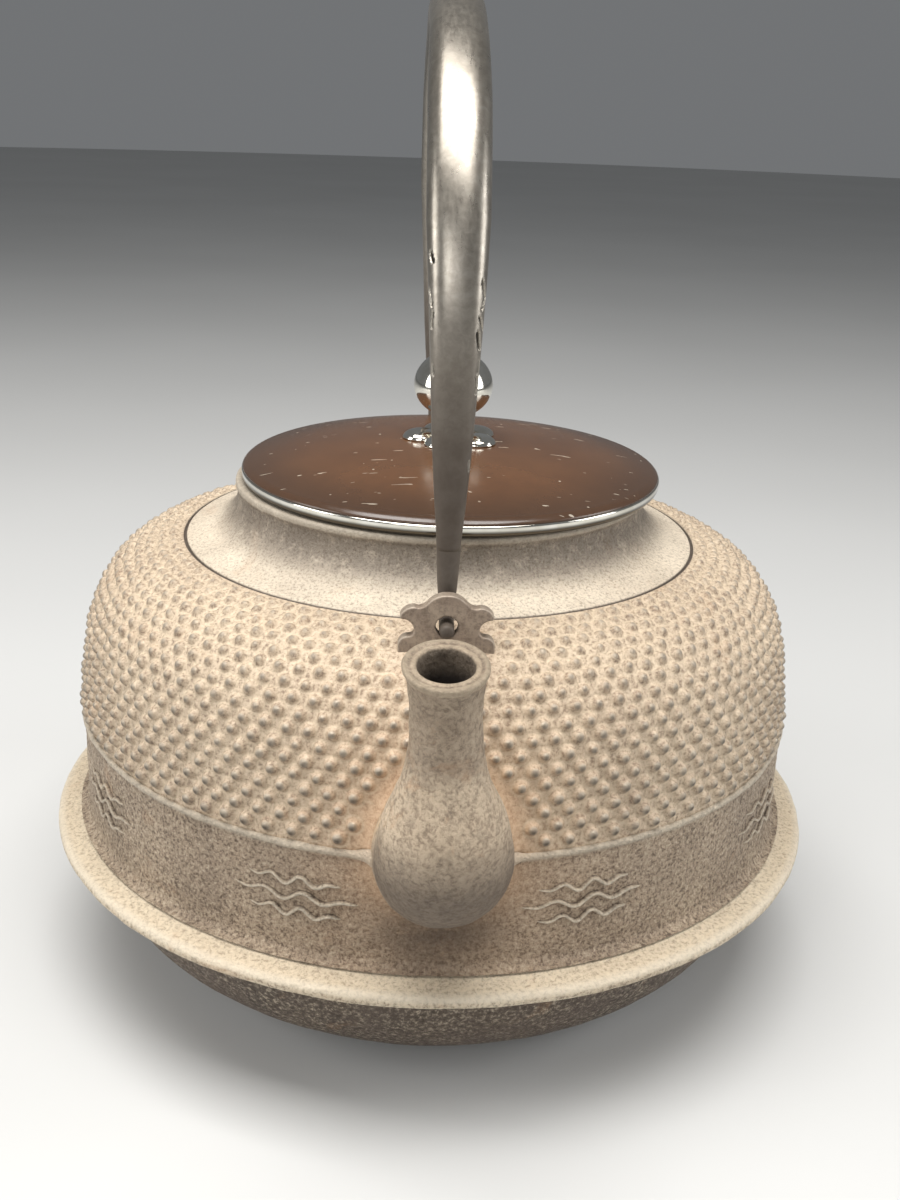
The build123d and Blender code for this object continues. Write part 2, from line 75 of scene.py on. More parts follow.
# ------------------------------------------------------------------ light and floor
def add_area_light(name, place, target, size, power, colour=(1.0, 1.0, 1.0)):
    """Soft rectangular light at a place, pointed at a target; both in millimetres."""
    data = bpy.data.lights.new(name, "AREA")
    data.shape = "RECTANGLE"
    data.size, data.size_y = size[0] * MM, size[1] * MM
    data.energy = power
    data.color = colour
    light = bpy.data.objects.new(name, data)
    place, target = Vector(place) * MM, Vector(target) * MM
    light.location = place
    light.rotation_euler = (target - place).to_track_quat("-Z", "Y").to_euler()
    bpy.context.scene.collection.objects.link(light)


def add_studio():
    """Plain pale floor, pale surroundings and large soft lights."""
    world = bpy.data.worlds.new("studio")
    bpy.context.scene.world = world
    world.use_nodes = True
    background = world.node_tree.nodes["Background"]
    background.inputs["Color"].default_value = (0.62, 0.64, 0.66, 1.0)
    background.inputs["Strength"].default_value = 0.27
    add_area_light("ceiling", (-60, -150, 900), (0, -10, 60), (820, 520), 11.5, (1.0, 0.985, 0.965))
    add_area_light("left", (-820, -180, 360), (0, 0, 90), (360, 560), 3.2, (1.0, 0.995, 0.985))
    add_area_light("right", (820, -120, 360), (0, 0, 90), (360, 560), 3.2, (0.99, 0.995, 1.0))
    add_area_light("front", (-260, -900, 520), (0, 0, 70), (520, 300), 2.2)
    floor_radius = 4.0
    sides = 96
    turns = [2 * math.pi * i / sides for i in range(sides)]
    corners = [(floor_radius * math.cos(turn), floor_radius * math.sin(turn), 0.0) for turn in turns]
    mesh = bpy.data.meshes.new("floor")
    mesh.from_pydata(corners, [], [list(range(sides))])
    floor = bpy.data.objects.new("floor", mesh)
    bpy.context.scene.collection.objects.link(floor)
    floor.data.materials.append(floor_material())


# ------------------------------------------------------------------ repeatable noise
def lattice(ix, iy, iz, seed):
    """Repeatable value from -1 to 1 at whole-number points."""
    mask = 0xFFFFFFFF
    h = (ix * 374761393 + iy * 668265263 + iz * 1103515245 + seed * 974634777) & mask
    h = ((h ^ (h >> 13)) * 1274126177) & mask
    h = h ^ (h >> 16)
    return (h & 0xFFFF) / 32767.5 - 1.0


def noise(points, size, seed=0):
    """Smooth noise from -1 to 1 at points, with features about size across."""
    p = np.asarray(points) / size
    low = np.floor(p).astype(np.int64)
    f = p - low
    f = f * f * (3.0 - 2.0 * f)
    total = 0.0
    for dx in (0, 1):
        for dy in (0, 1):
            for dz in (0, 1):
                weight = (
                    (f[..., 0] if dx else 1 - f[..., 0])
                    * (f[..., 1] if dy else 1 - f[..., 1])
                    * (f[..., 2] if dz else 1 - f[..., 2])
                )
                corner = lattice(low[..., 0] + dx, low[..., 1] + dy, low[..., 2] + dz, seed)
                total = total + weight * corner
    return total


def rough(points, size, seed=0, octaves=3):
    """Noise with finer octaves added, from about -1 to 1."""
    total, weight, whole = 0.0, 1.0, 0.0
    for octave in range(octaves):
        total = total + weight * noise(points, size / 2**octave, seed + octave)
        whole += weight
        weight *= 0.5
    return total / whole


# ------------------------------------------------------------------ mesh helpers
def smooth_step(x):
    """0 below 0, 1 above 1, smooth between."""
    x = np.clip(x, 0.0, 1.0)
    return x * x * (3.0 - 2.0 * x)


def bezier(p0, p1, p2, p3, count=24):
    """Points along a cubic curve, without the last one."""
    t = np.linspace(0, 1, count, endpoint=False)[:, None]
    p0, p1, p2, p3 = (np.array(p, float) for p in (p0, p1, p2, p3))
    return (1 - t)**3 * p0 + 3 * (1 - t)**2 * t * p1 + 3 * (1 - t) * t * t * p2 + t**3 * p3


def outline(*stretches):
    """Joins stretches of points into one outline."""
    return np.vstack([np.atleast_2d(np.array(s, float)) for s in stretches])


def resample(points, count):
    """The outline's points spread evenly along it."""
    steps = np.linalg.norm(np.diff(points, axis=0), axis=1)
    along = np.concatenate([[0.0], np.cumsum(steps)])
    wanted = np.linspace(0, along[-1], count)
    return np.stack([np.interp(wanted, along, points[:, k]) for k in range(points.shape[1])], axis=1)


def outline_normals(points):
    """Outward normals of an outline in (radius, height) that runs upwards on the outside."""
    tangent = np.gradient(points, axis=0)
    tangent /= np.linalg.norm(tangent, axis=1, keepdims=True) + 1e-12
    return np.stack([tangent[:, 1], -tangent[:, 0]], axis=1)


def grid_object(name, points, closed, attributes=None, material=None):
    """Mesh from a grid of points in millimetres, (rows, columns, 3); closed joins the columns' ends."""
    rows, columns = points.shape[:2]
    index = np.arange(rows * columns).reshape(rows, columns)
    right = np.roll(index, -1, axis=1) if closed else index[:, 1:]
    left = index if closed else index[:, :-1]
    quads = np.stack([left[:-1], right[:-1], right[1:], left[1:]], axis=-1).reshape(-1, 4)
    mesh = bpy.data.meshes.new(name)
    mesh.vertices.add(rows * columns)
    mesh.vertices.foreach_set("co", (points.reshape(-1, 3) * MM).astype(np.float32).ravel())
    mesh.loops.add(quads.size)
    mesh.loops.foreach_set("vertex_index", quads.astype(np.int32).ravel())
    mesh.polygons.add(len(quads))
    mesh.polygons.foreach_set("loop_start", np.arange(0, quads.size, 4, dtype=np.int32))
    mesh.update(calc_edges=True)
    mesh.shade_smooth()
    for key, values in (attributes or {}).items():
        layer = mesh.attributes.new(key, "FLOAT", "POINT")
        layer.data.foreach_set("value", np.asarray(values, np.float32).ravel())
    thing = bpy.data.objects.new(name, mesh)
    bpy.context.scene.collection.objects.link(thing)
    if material:
        mesh.materials.append(material)
    return thing


def spin(profile, angles):
    """Grid of points made by turning (radius, height) points about Z; angle 0 is -Y, 90 is +X."""
    r, z = profile[:, 0:1], profile[:, 1:2]
    x = r * np.sin(angles)[None, :]
    y = -r * np.cos(angles)[None, :]
    return np.stack([x, y, np.broadcast_to(z, x.shape)], axis=-1)


def spin_normals(profile, angles):
    """Normals of such a grid."""
    n = outline_normals(profile)
    x = n[:, 0:1] * np.sin(angles)[None, :]
    y = -n[:, 0:1] * np.cos(angles)[None, :]
    return np.stack([x, y, np.broadcast_to(n[:, 1:2], x.shape)], axis=-1)


def full_turn(columns):
    """Angles round a full turn, starting at the back."""
    return np.linspace(-math.pi, math.pi, columns, endpoint=False)


def lathe(name, profile, columns, material, skin=0.0, skin_size=2.0, attributes=None, centre_x=0.0):
    """Turned piece with a slightly uneven skin."""
    angles = full_turn(columns)
    points = spin(profile, angles)
    if skin:
        points = points + spin_normals(profile, angles) * (skin * rough(points, skin_size, SEED))[..., None]
    points = points + np.array((centre_x, 0.0, 0.0))
    return grid_object(name, points, True, attributes, material)


def casting_marks(like, **given):
    """The numbers that the casting material reads, nought where a piece gives none."""
    names = ("tip", "hollow", "halo", "rubbed", "line", "shade")
    return {name: given.get(name, np.zeros(like.shape)) for name in names}


def place(thing, body, slot_name, *nodes):
    """The piece rides on a body and stands for CAD nodes, which it hides; the slot's name is not used."""
    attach(thing, body)
    if nodes:
        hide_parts(*nodes)
    return thing


# ------------------------------------------------------------------ material helpers
class Nodes:
    """Short way to write a material's node tree."""

    def __init__(self, name):
        self.material = bpy.data.materials.new(name)
        self.material.use_nodes = True
        self.tree = self.material.node_tree
        self.shader = self.tree.nodes["Principled BSDF"]
        self.coordinates = self.tree.nodes.new("ShaderNodeTexCoord").outputs["Object"]

    def new(self, kind, inputs=None, **settings):
        """A node with its settings and inputs; an input is a value or another node's output."""
        node = self.tree.nodes.new(kind)
        for key, value in settings.items():
            setattr(node, key, value)
        for key, value in (inputs or {}).items():
            self.set(node.inputs[key], value)
        return node

    def set(self, socket, value):
        if isinstance(value, bpy.types.NodeSocket):
            self.tree.links.new(value, socket)
        else:
            socket.default_value = value

    def noise(self, size, detail=3.0, roughness=0.55, distortion=0.0, stretch=None):
        """Noise with features of a size in millimetres."""
        where = self.coordinates
        if stretch:
            where = self.new("ShaderNodeMapping", {"Vector": where, "Scale": stretch}).outputs[0]
        inputs = {
            "Vector": where,
            "Scale": 1000.0 / size,
            "Detail": detail,
            "Roughness": roughness,
            "Distortion": distortion,
        }
        return self.new("ShaderNodeTexNoise", inputs).outputs["Fac"]

    def cells(self, size, randomness=1.0, feature="F1"):
        """Distance pattern of cells with a size in millimetres."""
        inputs = {"Vector": self.coordinates, "Scale": 1000.0 / size, "Randomness": randomness}
        return self.new("ShaderNodeTexVoronoi", inputs, feature=feature).outputs["Distance"]

    def ramp(self, value, *stops):
        """Colour ramp; each stop is (position, colour) with a grey number or an r, g, b colour."""
        node = self.new("ShaderNodeValToRGB", {"Fac": value})
        elements = node.color_ramp.elements
        while len(elements) < len(stops):
            elements.new(0.5)
        for element, (position, colour) in zip(elements, stops):
            element.position = position
            grey = isinstance(colour, (int, float))
            element.color = (colour,) * 3 + (1.0,) if grey else tuple(colour) + (1.0,)
        return node.outputs["Color"]

    def mix(self, factor, a, b, blend="MIX"):
        """Mixed colour."""
        node = self.new("ShaderNodeMix", data_type="RGBA", blend_type=blend)
        self.set(node.inputs[0], factor)
        for socket, value in ((node.inputs[6], a), (node.inputs[7], b)):
            if isinstance(value, (tuple, list)):
                value = tuple(value) + (1.0,) if len(value) == 3 else tuple(value)
            self.set(socket, value)
        return node.outputs[2]

    def math(self, operation, a, b=0.0, clamp=False):
        """One arithmetic step."""
        node = self.new("ShaderNodeMath", operation=operation, use_clamp=clamp)
        self.set(node.inputs[0], a)
        self.set(node.inputs[1], b)
        return node.outputs[0]

    def attribute(self, name):
        """A number stored on the mesh."""
        return self.new("ShaderNodeAttribute", attribute_name=name).outputs["Fac"]

    def bump(self, height, depth, strength=1.0, onto=None):
        """Bump of a depth in millimetres."""
        inputs = {"Height": height, "Distance": depth * MM, "Strength": strength}
        if onto is not None:
            inputs["Normal"] = onto
        return self.new("ShaderNodeBump", inputs).outputs["Normal"]

    def finish(self, **inputs):
        """Sets the shader's inputs and returns the material."""
        for key, value in inputs.items():
            key = key.replace("_", " ")
            if isinstance(value, tuple) and len(value) == 3:
                value = value + (1.0,)
            self.set(self.shader.inputs[key], value)
        return self.material


def srgb(r, g, b):
    """Linear colour from 0 to 255 display values."""
    def linear(c):
        c /= 255.0
        return c / 12.92 if c <= 0.04045 else ((c + 0.055) / 1.055)**2.4
    return linear(r), linear(g), linear(b)


# ------------------------------------------------------------------ materials
def floor_material():
    """Plain pale matt floor."""
    n = Nodes("floor_pale")
    tone = n.ramp(n.noise(300.0, 2.0), (0.3, (0.55, 0.55, 0.54)), (0.7, (0.58, 0.58, 0.57)))
    return n.finish(Base_Color=tone, Roughness=0.85)


def casting_material(name, light, middle, dark, grain, depth, mottle=0.5, stain=0.0):
    """Sand-cast iron under an earthy patina: pale in its hollows, worn grey on what stands proud, with
    painted shade where a piece marks it.
    """
    n = Nodes(name)
    clouds = n.noise(26.0, 3.0, 0.6)
    patches = n.noise(7.0, 4.0, 0.65, 0.6)
    fine = n.noise(grain, 5.0, 0.75, 0.3)
    pits = n.cells(grain * 0.8)
    colour = n.ramp(clouds, (0.32, middle), (0.66, light))
    colour = n.mix(n.ramp(patches, (0.42, 0.0), (0.72, 0.5)), colour, middle)
    colour = n.mix(n.ramp(fine, (0.38, mottle), (0.50, 0.0)), colour, dark)
    colour = n.mix(n.ramp(fine, (0.52, 0.0), (0.66, mottle * 0.6)), colour, srgb(232, 216, 190))
    rust = n.ramp(n.noise(15.0, 5.0, 0.7, 1.0), (0.58, 0.0), (0.74, 0.30))
    colour = n.mix(rust, colour, srgb(182, 140, 102))
    halo = n.ramp(n.attribute("halo"), (0.0, 0.0), (1.0, 0.6))
    colour = n.mix(halo, colour, srgb(190, 152, 116))
    if stain:
        soot = n.ramp(n.noise(20.0, 4.0, 0.6), (0.42, 0.0), (0.66, stain))
        colour = n.mix(soot, colour, srgb(84, 71, 62))
    hollow = n.ramp(n.attribute("hollow"), (0.1, 0.0), (1.0, 0.5))
    colour = n.mix(hollow, colour, srgb(216, 198, 170))
    patchy = n.ramp(n.noise(2.6, 2.0), (0.30, 0.5), (0.55, 1.0))
    worn = n.math("MULTIPLY", n.ramp(n.attribute("tip"), (0.52, 0.0), (0.78, 0.85)), patchy)
    colour = n.mix(worn, colour, srgb(176, 166, 150))
    # Lighter where rubbed; on the relief's ridge tops this also stands for a painted highlight.
    rubbed = n.ramp(n.attribute("rubbed"), (0.2, 0.0), (1.0, 0.55))
    colour = n.mix(rubbed, colour, srgb(206, 195, 176))
    # Painted shade, patchy, wherever a piece gives shade marks: below the spout, under the lid, low on each
    # stud and along the relief's feet.
    patchy = n.ramp(n.noise(3.0, 5.0, 0.75, 0.3), (0.34, 0.65), (0.5, 1.0))
    shade = n.math("MULTIPLY", n.attribute("shade"), patchy)
    colour = n.mix(shade, colour, srgb(62, 51, 42))
    colour = n.mix(n.attribute("line"), colour, srgb(62, 50, 42))
    bare = n.math("MAXIMUM", worn, n.math("MULTIPLY", rubbed, 0.6))
    roughness = n.mix(bare, n.ramp(fine, (0.35, 0.8), (0.65, 0.46)), (0.27, 0.27, 0.27))
    metallic = n.math("MULTIPLY", worn, 0.6)
    normal = n.bump(n.mix(0.35, fine, pits), depth)
    normal = n.bump(n.noise(grain * 0.3, 2.0), depth * 0.2, 1.0, normal)
    return n.finish(Base_Color=colour, Roughness=roughness, Normal=normal, Metallic=metallic)


def bronze_material():
    """Brown patinated bronze, semi-gloss, with dust specks and hair scratches."""
    n = Nodes("lid_brown_bronze")
    tone = n.ramp(n.noise(34.0, 3.0, 0.6), (0.3, srgb(86, 58, 38)), (0.7, srgb(106, 73, 48)))
    tone = n.mix(n.ramp(n.noise(2.5, 4.0, 0.7), (0.4, 0.0), (0.75, 0.3)), tone, srgb(74, 52, 38))
    tone = n.mix(n.attribute("edge"), tone, srgb(62, 46, 35))
    specks = n.ramp(n.cells(4.2), (0.05, 1.0), (0.085, 0.0))
    lots = n.ramp(n.noise(8.0, 2.0), (0.50, 0.0), (0.57, 1.0))
    dust = n.math("MULTIPLY", specks, lots)
    hairs = n.ramp(n.noise(2.6, 1.0, 0.5, 0.6, (0.45, 2.2, 1.0)), (0.742, 0.0), (0.750, 0.6))
    marks = n.math("MAXIMUM", dust, hairs)
    tone = n.mix(marks, tone, srgb(200, 190, 172))
    streak = n.noise(1.2, 3.0, 0.6, 0.2, (1.0, 0.12, 1.0))
    gloss = n.mix(marks, n.ramp(streak, (0.35, 0.20), (0.7, 0.27)), (0.8, 0.8, 0.8))
    normal = n.bump(n.noise(3.0, 4.0, 0.6), 0.010)
    return n.finish(Base_Color=tone, Roughness=gloss, Normal=normal, Metallic=0.0, Specular_IOR_Level=0.62)


def silver_material():
    """Polished silver, faintly uneven in tone, with fine polishing marks and a painted dark reflection where
    a piece marks its lower half.
    """
    n = Nodes("silver_polished")
    tone = n.ramp(n.noise(7.0, 4.0, 0.6), (0.35, srgb(214, 209, 196)), (0.7, srgb(240, 238, 230)))
    # Painted dark reflection on the lower half of the lid's rim.
    tone = n.mix(n.ramp(n.attribute("tarnish"), (0.0, 0.0), (1.0, 0.92)), tone, srgb(70, 64, 56))
    marks = n.noise(0.9, 4.0, 0.6, 0.3, (1.0, 1.0, 6.0))
    rough_map = n.ramp(marks, (0.35, 0.05), (0.75, 0.14))
    normal = n.bump(n.noise(4.0, 2.0), 0.008)
    return n.finish(Base_Color=tone, Roughness=rough_map, Normal=normal, Metallic=1.0)


def bail_material():
    """Smooth forged iron, satin and grey, browner towards its feet and rubbed bright along its edges."""
    n = Nodes("bail_satin_iron")
    tone = n.ramp(n.noise(20.0, 3.0, 0.6), (0.3, srgb(138, 132, 122)), (0.7, srgb(160, 154, 144)))
    mottle = n.ramp(n.noise(1.6, 5.0, 0.7, 0.5), (0.38, 0.35), (0.62, 0.0))
    tone = n.mix(mottle, tone, srgb(100, 92, 84))
    patches = n.ramp(n.noise(9.0, 4.0, 0.6), (0.3, 0.85), (0.6, 1.0))
    browned = n.math("MULTIPLY", n.attribute("browned"), patches)
    tone = n.mix(browned, tone, srgb(70, 60, 52))
    tone = n.mix(n.ramp(n.attribute("edge"), (0.45, 0.0), (1.0, 0.55)), tone, srgb(196, 190, 178))
    brush = n.noise(0.8, 3.0, 0.6, 0.2, (1.0, 0.25, 0.25))
    rough_map = n.ramp(brush, (0.3, 0.26), (0.7, 0.36))
    rough_map = n.mix(n.attribute("browned"), rough_map, (0.55, 0.55, 0.55))
    metallic = n.mix(n.attribute("browned"), (0.85, 0.85, 0.85), (0.0, 0.0, 0.0))
    normal = n.bump(n.noise(2.4, 4.0, 0.65), 0.02)
    return n.finish(
        Base_Color=tone, Roughness=rough_map, Normal=normal, Metallic=metallic, Specular_IOR_Level=0.2
    )


def lug_material():
    """Smooth casting, mauve-brown, with bright worn edges."""
    n = Nodes("lug_smooth_iron")
    tone = n.ramp(n.noise(5.0, 4.0, 0.6), (0.3, srgb(136, 120, 106)), (0.7, srgb(168, 152, 134)))
    tone = n.mix(n.ramp(n.noise(0.8, 4.0, 0.7), (0.35, 0.6), (0.55, 0.0)), tone, srgb(98, 84, 72))
    bevel = n.new("ShaderNodeNewGeometry").outputs["Pointiness"]
    tone = n.mix(n.ramp(bevel, (0.52, 0.0), (0.60, 0.8)), tone, srgb(212, 204, 188))
    normal = n.bump(n.noise(0.7, 4.0, 0.7), 0.06)
    return n.finish(Base_Color=tone, Roughness=0.5, Normal=normal, Metallic=0.35)


def brass_material():
    """Turned brass of the knob's pin and washer."""
    n = Nodes("pin_satin_brass")
    tone = n.ramp(n.noise(3.0, 4.0, 0.6), (0.3, srgb(128, 100, 60)), (0.7, srgb(172, 142, 88)))
    rough_map = n.ramp(n.noise(0.7, 3.0), (0.3, 0.30), (0.7, 0.45))
    return n.finish(Base_Color=tone, Roughness=rough_map, Normal=n.bump(n.noise(1.0), 0.01), Metallic=1.0)


def inside_material():
    """Inside of the kettle: dark fired iron with rust blooms and lime scale near the bottom."""
    n = Nodes("inside_dark_iron")
    tone = n.ramp(n.noise(16.0, 5.0, 0.65), (0.35, srgb(58, 50, 46)), (0.7, srgb(96, 80, 68)))
    bloom = n.ramp(n.noise(7.0, 5.0, 0.7, 0.8), (0.52, 0.0), (0.66, 0.85))
    tone = n.mix(bloom, tone, srgb(150, 84, 48))
    normal = n.bump(n.noise(1.2, 4.0, 0.7), 0.15)
    return n.finish(Base_Color=tone, Roughness=0.82, Normal=normal)


# ------------------------------------------------------------------ kettle outline, as in the CAD
BOWL = bezier((56.0, 0.0), (71.0, 5.7), (83.9, 16.7), (83.9, 31.0))
BEAD_Z = 63.2
WALL_R = 85.3
SHOULDER = ((85.0, 63.8), (82.6, 80.2), (85.6, 98.5), (60.8, 103.6))
SPOUT_FOOT = (13.7, 15.2, 65.2)
DOTS_ROUND = 106
DOT_ROWS = 17
BAND_FOOT, BAND_TOP = 41.0, 62.2
RIPPLE_GROUPS = 9
RIPPLE_SPAN = 18.0
RIPPLE_STEP = 3.6
RIPPLE_SWING = 1.1


def foot_distance(points):
    """How far a wall point is outside the spout's foot, in foot widths; negative inside."""
    half_x, half_z, middle = SPOUT_FOOT
    q = np.sqrt((points[..., 0] / half_x)**2 + ((points[..., 2] - middle) / half_z)**2) - 1.0
    return np.where(points[..., 1] < 0, q, 9.0)


def spout_fillet(points):
    """Rise of the wall into the spout's foot."""
    q = foot_distance(points)
    return 1.5 * np.exp(-np.maximum(q, 0.0) * 13.7 / 1.5)


def spout_halo(points):
    """Warm stain round the spout's foot."""
    q = foot_distance(points)
    return 0.9 * np.exp(-np.maximum(q, 0.0) * 13.7 / 7.0) + 0.25 * np.exp(-np.maximum(q, 0.0) * 13.7 / 30.0)


def under_spout(points):
    """Painted shade on the band just below the spout's foot."""
    x = points[..., 0] / 17.0
    z = (points[..., 2] - 47.0) / 9.0
    return np.where(points[..., 1] < 0, np.exp(-(x * x + z * z) * 1.3), 0.0)


def dot_field(along, angles, length, points):
    """Height of the cast studs on the shoulder, with their tips, the hollows round them and painted shade
    low on each stud.
    """
    generator = np.random.default_rng(SEED)
    shape = (DOT_ROWS + 1, DOTS_ROUND)
    shift_s = generator.normal(0.0, 0.14, shape)
    shift_a = generator.normal(0.0, 0.14, shape)
    scale = generator.normal(1.0, 0.07, shape)
    first, last = 2.4, length - 2.2
    spacing = (last - first) / (DOT_ROWS - 1)
    pitch = 2 * math.pi / DOTS_ROUND
    radius_here = np.hypot(points[..., 0], points[..., 1])
    height = np.zeros(points.shape[:2])
    tip = np.zeros(points.shape[:2])
    hollow = np.zeros(points.shape[:2])
    lower = np.zeros(points.shape[:2])
    base_row = np.floor((along - first) / spacing).astype(int)
    for step in (-1, 0, 1, 2):
        row = base_row + step
        valid = (row >= 0) & (row < DOT_ROWS)
        row = np.clip(row, 0, DOT_ROWS - 1)
        stagger = (row % 2) * 0.5
        place_a = angles[None, :] / pitch - stagger[:, None]
        nearest = np.round(place_a)
        for side in (-1, 0, 1):
            k = (nearest + side).astype(int)
            column = k % DOTS_ROUND
            rows = np.broadcast_to(row[:, None], k.shape)
            centre_a = (k + stagger[:, None]) * pitch
            ds = along[:, None] - (first + row[:, None] * spacing) - shift_s[rows, column]
            da = (angles[None, :] - centre_a) * radius_here - shift_a[rows, column]
            up = rows / (DOT_ROWS - 1)
            size = (1.72 - 0.36 * up) * scale[rows, column]
            tall = (1.55 - 0.70 * up) * scale[rows, column]
            present = valid[:, None] & dot_present(row, centre_a, points, radius_here)
            q = np.sqrt(ds**2 + da**2) / size
            dome = np.clip(1 - q * q, 0, 1)**1.25
            height = np.maximum(height, np.where(present, tall * dome, 0.0))
            tip = np.maximum(tip, np.where(present, dome, 0.0))
            ring = np.exp(-((q - 1.12) / 0.16)**2)
            hollow = np.maximum(hollow, np.where(present, ring, 0.0))
            # Painted shade and painted dark reflection on each stud's lower side, strongest in the lowest
            # rows.
            painted_shade_spot = np.exp(-((ds / size + 0.24)**2 + (da / size)**2) / 0.22)
            lower = np.maximum(lower, np.where(present, painted_shade_spot * (1.0 - 0.8 * up), 0.0))
    return height, tip, hollow * (1 - tip), lower


def dot_present(row, centre_a, points, radius_here):
    """False for studs that would stand on the spout's foot or beside a lug."""
    x = np.sin(centre_a) * radius_here
    front = np.cos(centre_a) > 0
    z = points[..., 2]
    near_spout = front & ((x / 16.0)**2 + ((z - 66.5) / 19.5)**2 < 1.0)
    near_lug = (np.abs(x) < 11.0) & (row[:, None] >= DOT_ROWS - 5)
    return ~(near_spout | near_lug)


def add_shoulder(material):
    """Studded shoulder from the bead to the neck's incised line, in two halves."""
    curve = outline(bezier(*SHOULDER, count=400), [SHOULDER[3]])
    rows = 9 * (DOT_ROWS + 1)
    profile = resample(curve, rows)
    length = np.linalg.norm(np.diff(curve, axis=0), axis=1).sum()
    along = np.linspace(0, length, rows)
    columns = 11 * DOTS_ROUND // 2
    for name, start in (("shoulder_right", 0.0), ("shoulder_left", -math.pi)):
        angles = start + np.linspace(0, math.pi, columns + 1)
        points = spin(profile, angles)
        normals = spin_normals(profile, angles)
        height, tip, hollow, lower = dot_field(along, angles, length, points)
        skin = 0.16 * rough(points, 5.0, SEED) + 0.05 * rough(points, 1.3, SEED + 5, 2)
        total = height + skin + spout_fillet(points) - 0.1 * hollow
        fade = np.minimum(smooth_step(along / 1.2), smooth_step((length - along) / 0.8))
        points = points + normals * (total * fade[:, None])[..., None]
        proud = tip * (1.0 - 0.30 * (along / length)[:, None])
        marks = casting_marks(tip, tip=proud, hollow=hollow, halo=spout_halo(points), shade=lower)
        piece = grid_object(name, points, False, marks, material)
        place(piece, "kettle", "kettle_iron", "shoulder")


def add_band(material):
    """Plain band of the wall with the raised bead along its top."""
    bead_r = 0.75
    bead = [(WALL_R - 0.15 + bead_r * math.sin(a), BEAD_Z - bead_r * math.cos(a))
            for a in np.linspace(0.2, 2.9, 9)]
    profile = outline(
        resample(np.array([(87.5, 37.9), (86.2, 38.3), (85.45, 39.4), (WALL_R, BAND_FOOT)]), 10)[:-1],
        resample(np.array([(WALL_R, BAND_FOOT), (WALL_R, BAND_TOP)]), 44)[:-1],
        resample(np.array(bead), 14)[:-1],
        [bead[-1], SHOULDER[0]],
    )
    angles = full_turn(1100)
    points = spin(profile, angles)
    normals = spin_normals(profile, angles)
    on_bead = smooth_step((points[..., 2] - 62.0) / 0.6)
    skin = 0.14 * rough(points, 4.0, SEED) + 0.16 * rough(points, 1.5, SEED + 3, 2)
    wobble = 0.30 * rough(points, 5.0, SEED + 9, 2) * on_bead
    total = skin * (1 - 0.6 * on_bead) + wobble + spout_fillet(points)
    total[-1] = 0.0
    points = points + normals * total[..., None]
    # Painted shade below the spout's foot.
    shade = 0.8 * under_spout(points)
    marks = casting_marks(on_bead, halo=spout_halo(points), rubbed=on_bead, shade=shade)
    piece = grid_object("wall_band", points, True, marks, material)
    place(piece, "kettle", "kettle_iron", "wall", "shoulder")


def add_flange(material):
    """Brazier flange: flat underside, rounded rim and a top that slopes up to the wall."""
    profile = outline(
        [(83.7, 30.6), (83.8, 32.2), (84.5, 33.2), (85.4, 33.5)],
        resample(np.array([(86.0, 33.5), (91.4, 33.5)]), 8),
        [(92.3, 33.7), (92.85, 34.2), (93.0, 35.0), (92.85, 35.8), (92.4, 36.3), (91.7, 36.55)],
        resample(np.array([(91.0, 36.65), (87.9, 37.15), (86.6, 37.6), (85.2, 38.6)]), 16),
    )
    profile = resample(profile, 64)
    angles = full_turn(900)
    points = spin(profile, angles)
    rim = smooth_step((np.hypot(points[..., 0], points[..., 1]) - 90.0) / 2.5)
    nicks = np.minimum(0.0, rough(points, 9.0, SEED + 21, 2) + 0.25) * 0.35
    skin = 0.12 * rough(points, 6.0, SEED + 2) + 0.05 * rough(points, 1.6, SEED + 4, 2)
    total = skin + rim * (0.18 * rough(points, 16.0, SEED + 8, 2) + nicks)
    points = points + spin_normals(profile, angles) * total[..., None]
    upper = smooth_step((points[..., 2] - 34.9) / 0.8)
    marks = casting_marks(rim, hollow=0.5 * upper, rubbed=rim * upper)
    piece = grid_object("flange_ring", points, True, marks, material)
    place(piece, "kettle", "kettle_iron", "flange")


def add_bowl(material):
    """Smooth lower bowl and the flat base."""
    profile = outline([(0.05, 0.0), (20.0, 0.0), (40.0, 0.0), (52.0, 0.0)], BOWL, [(83.9, 31.0)])
    profile = resample(profile, 120)
    angles = full_turn(540)
    points = spin(profile, angles)
    rise = smooth_step((points[..., 2] - 0.3) / 3.0)
    total = rise * (0.16 * rough(points, 7.0, SEED + 31) + 0.05 * rough(points, 2.0, SEED + 32, 2))
    points = points + spin_normals(profile, angles) * total[..., None]
    marks = casting_marks(rise)
    piece = grid_object("lower_bowl", points, True, marks, material)
    place(piece, "kettle", "kettle_iron", "bowl")


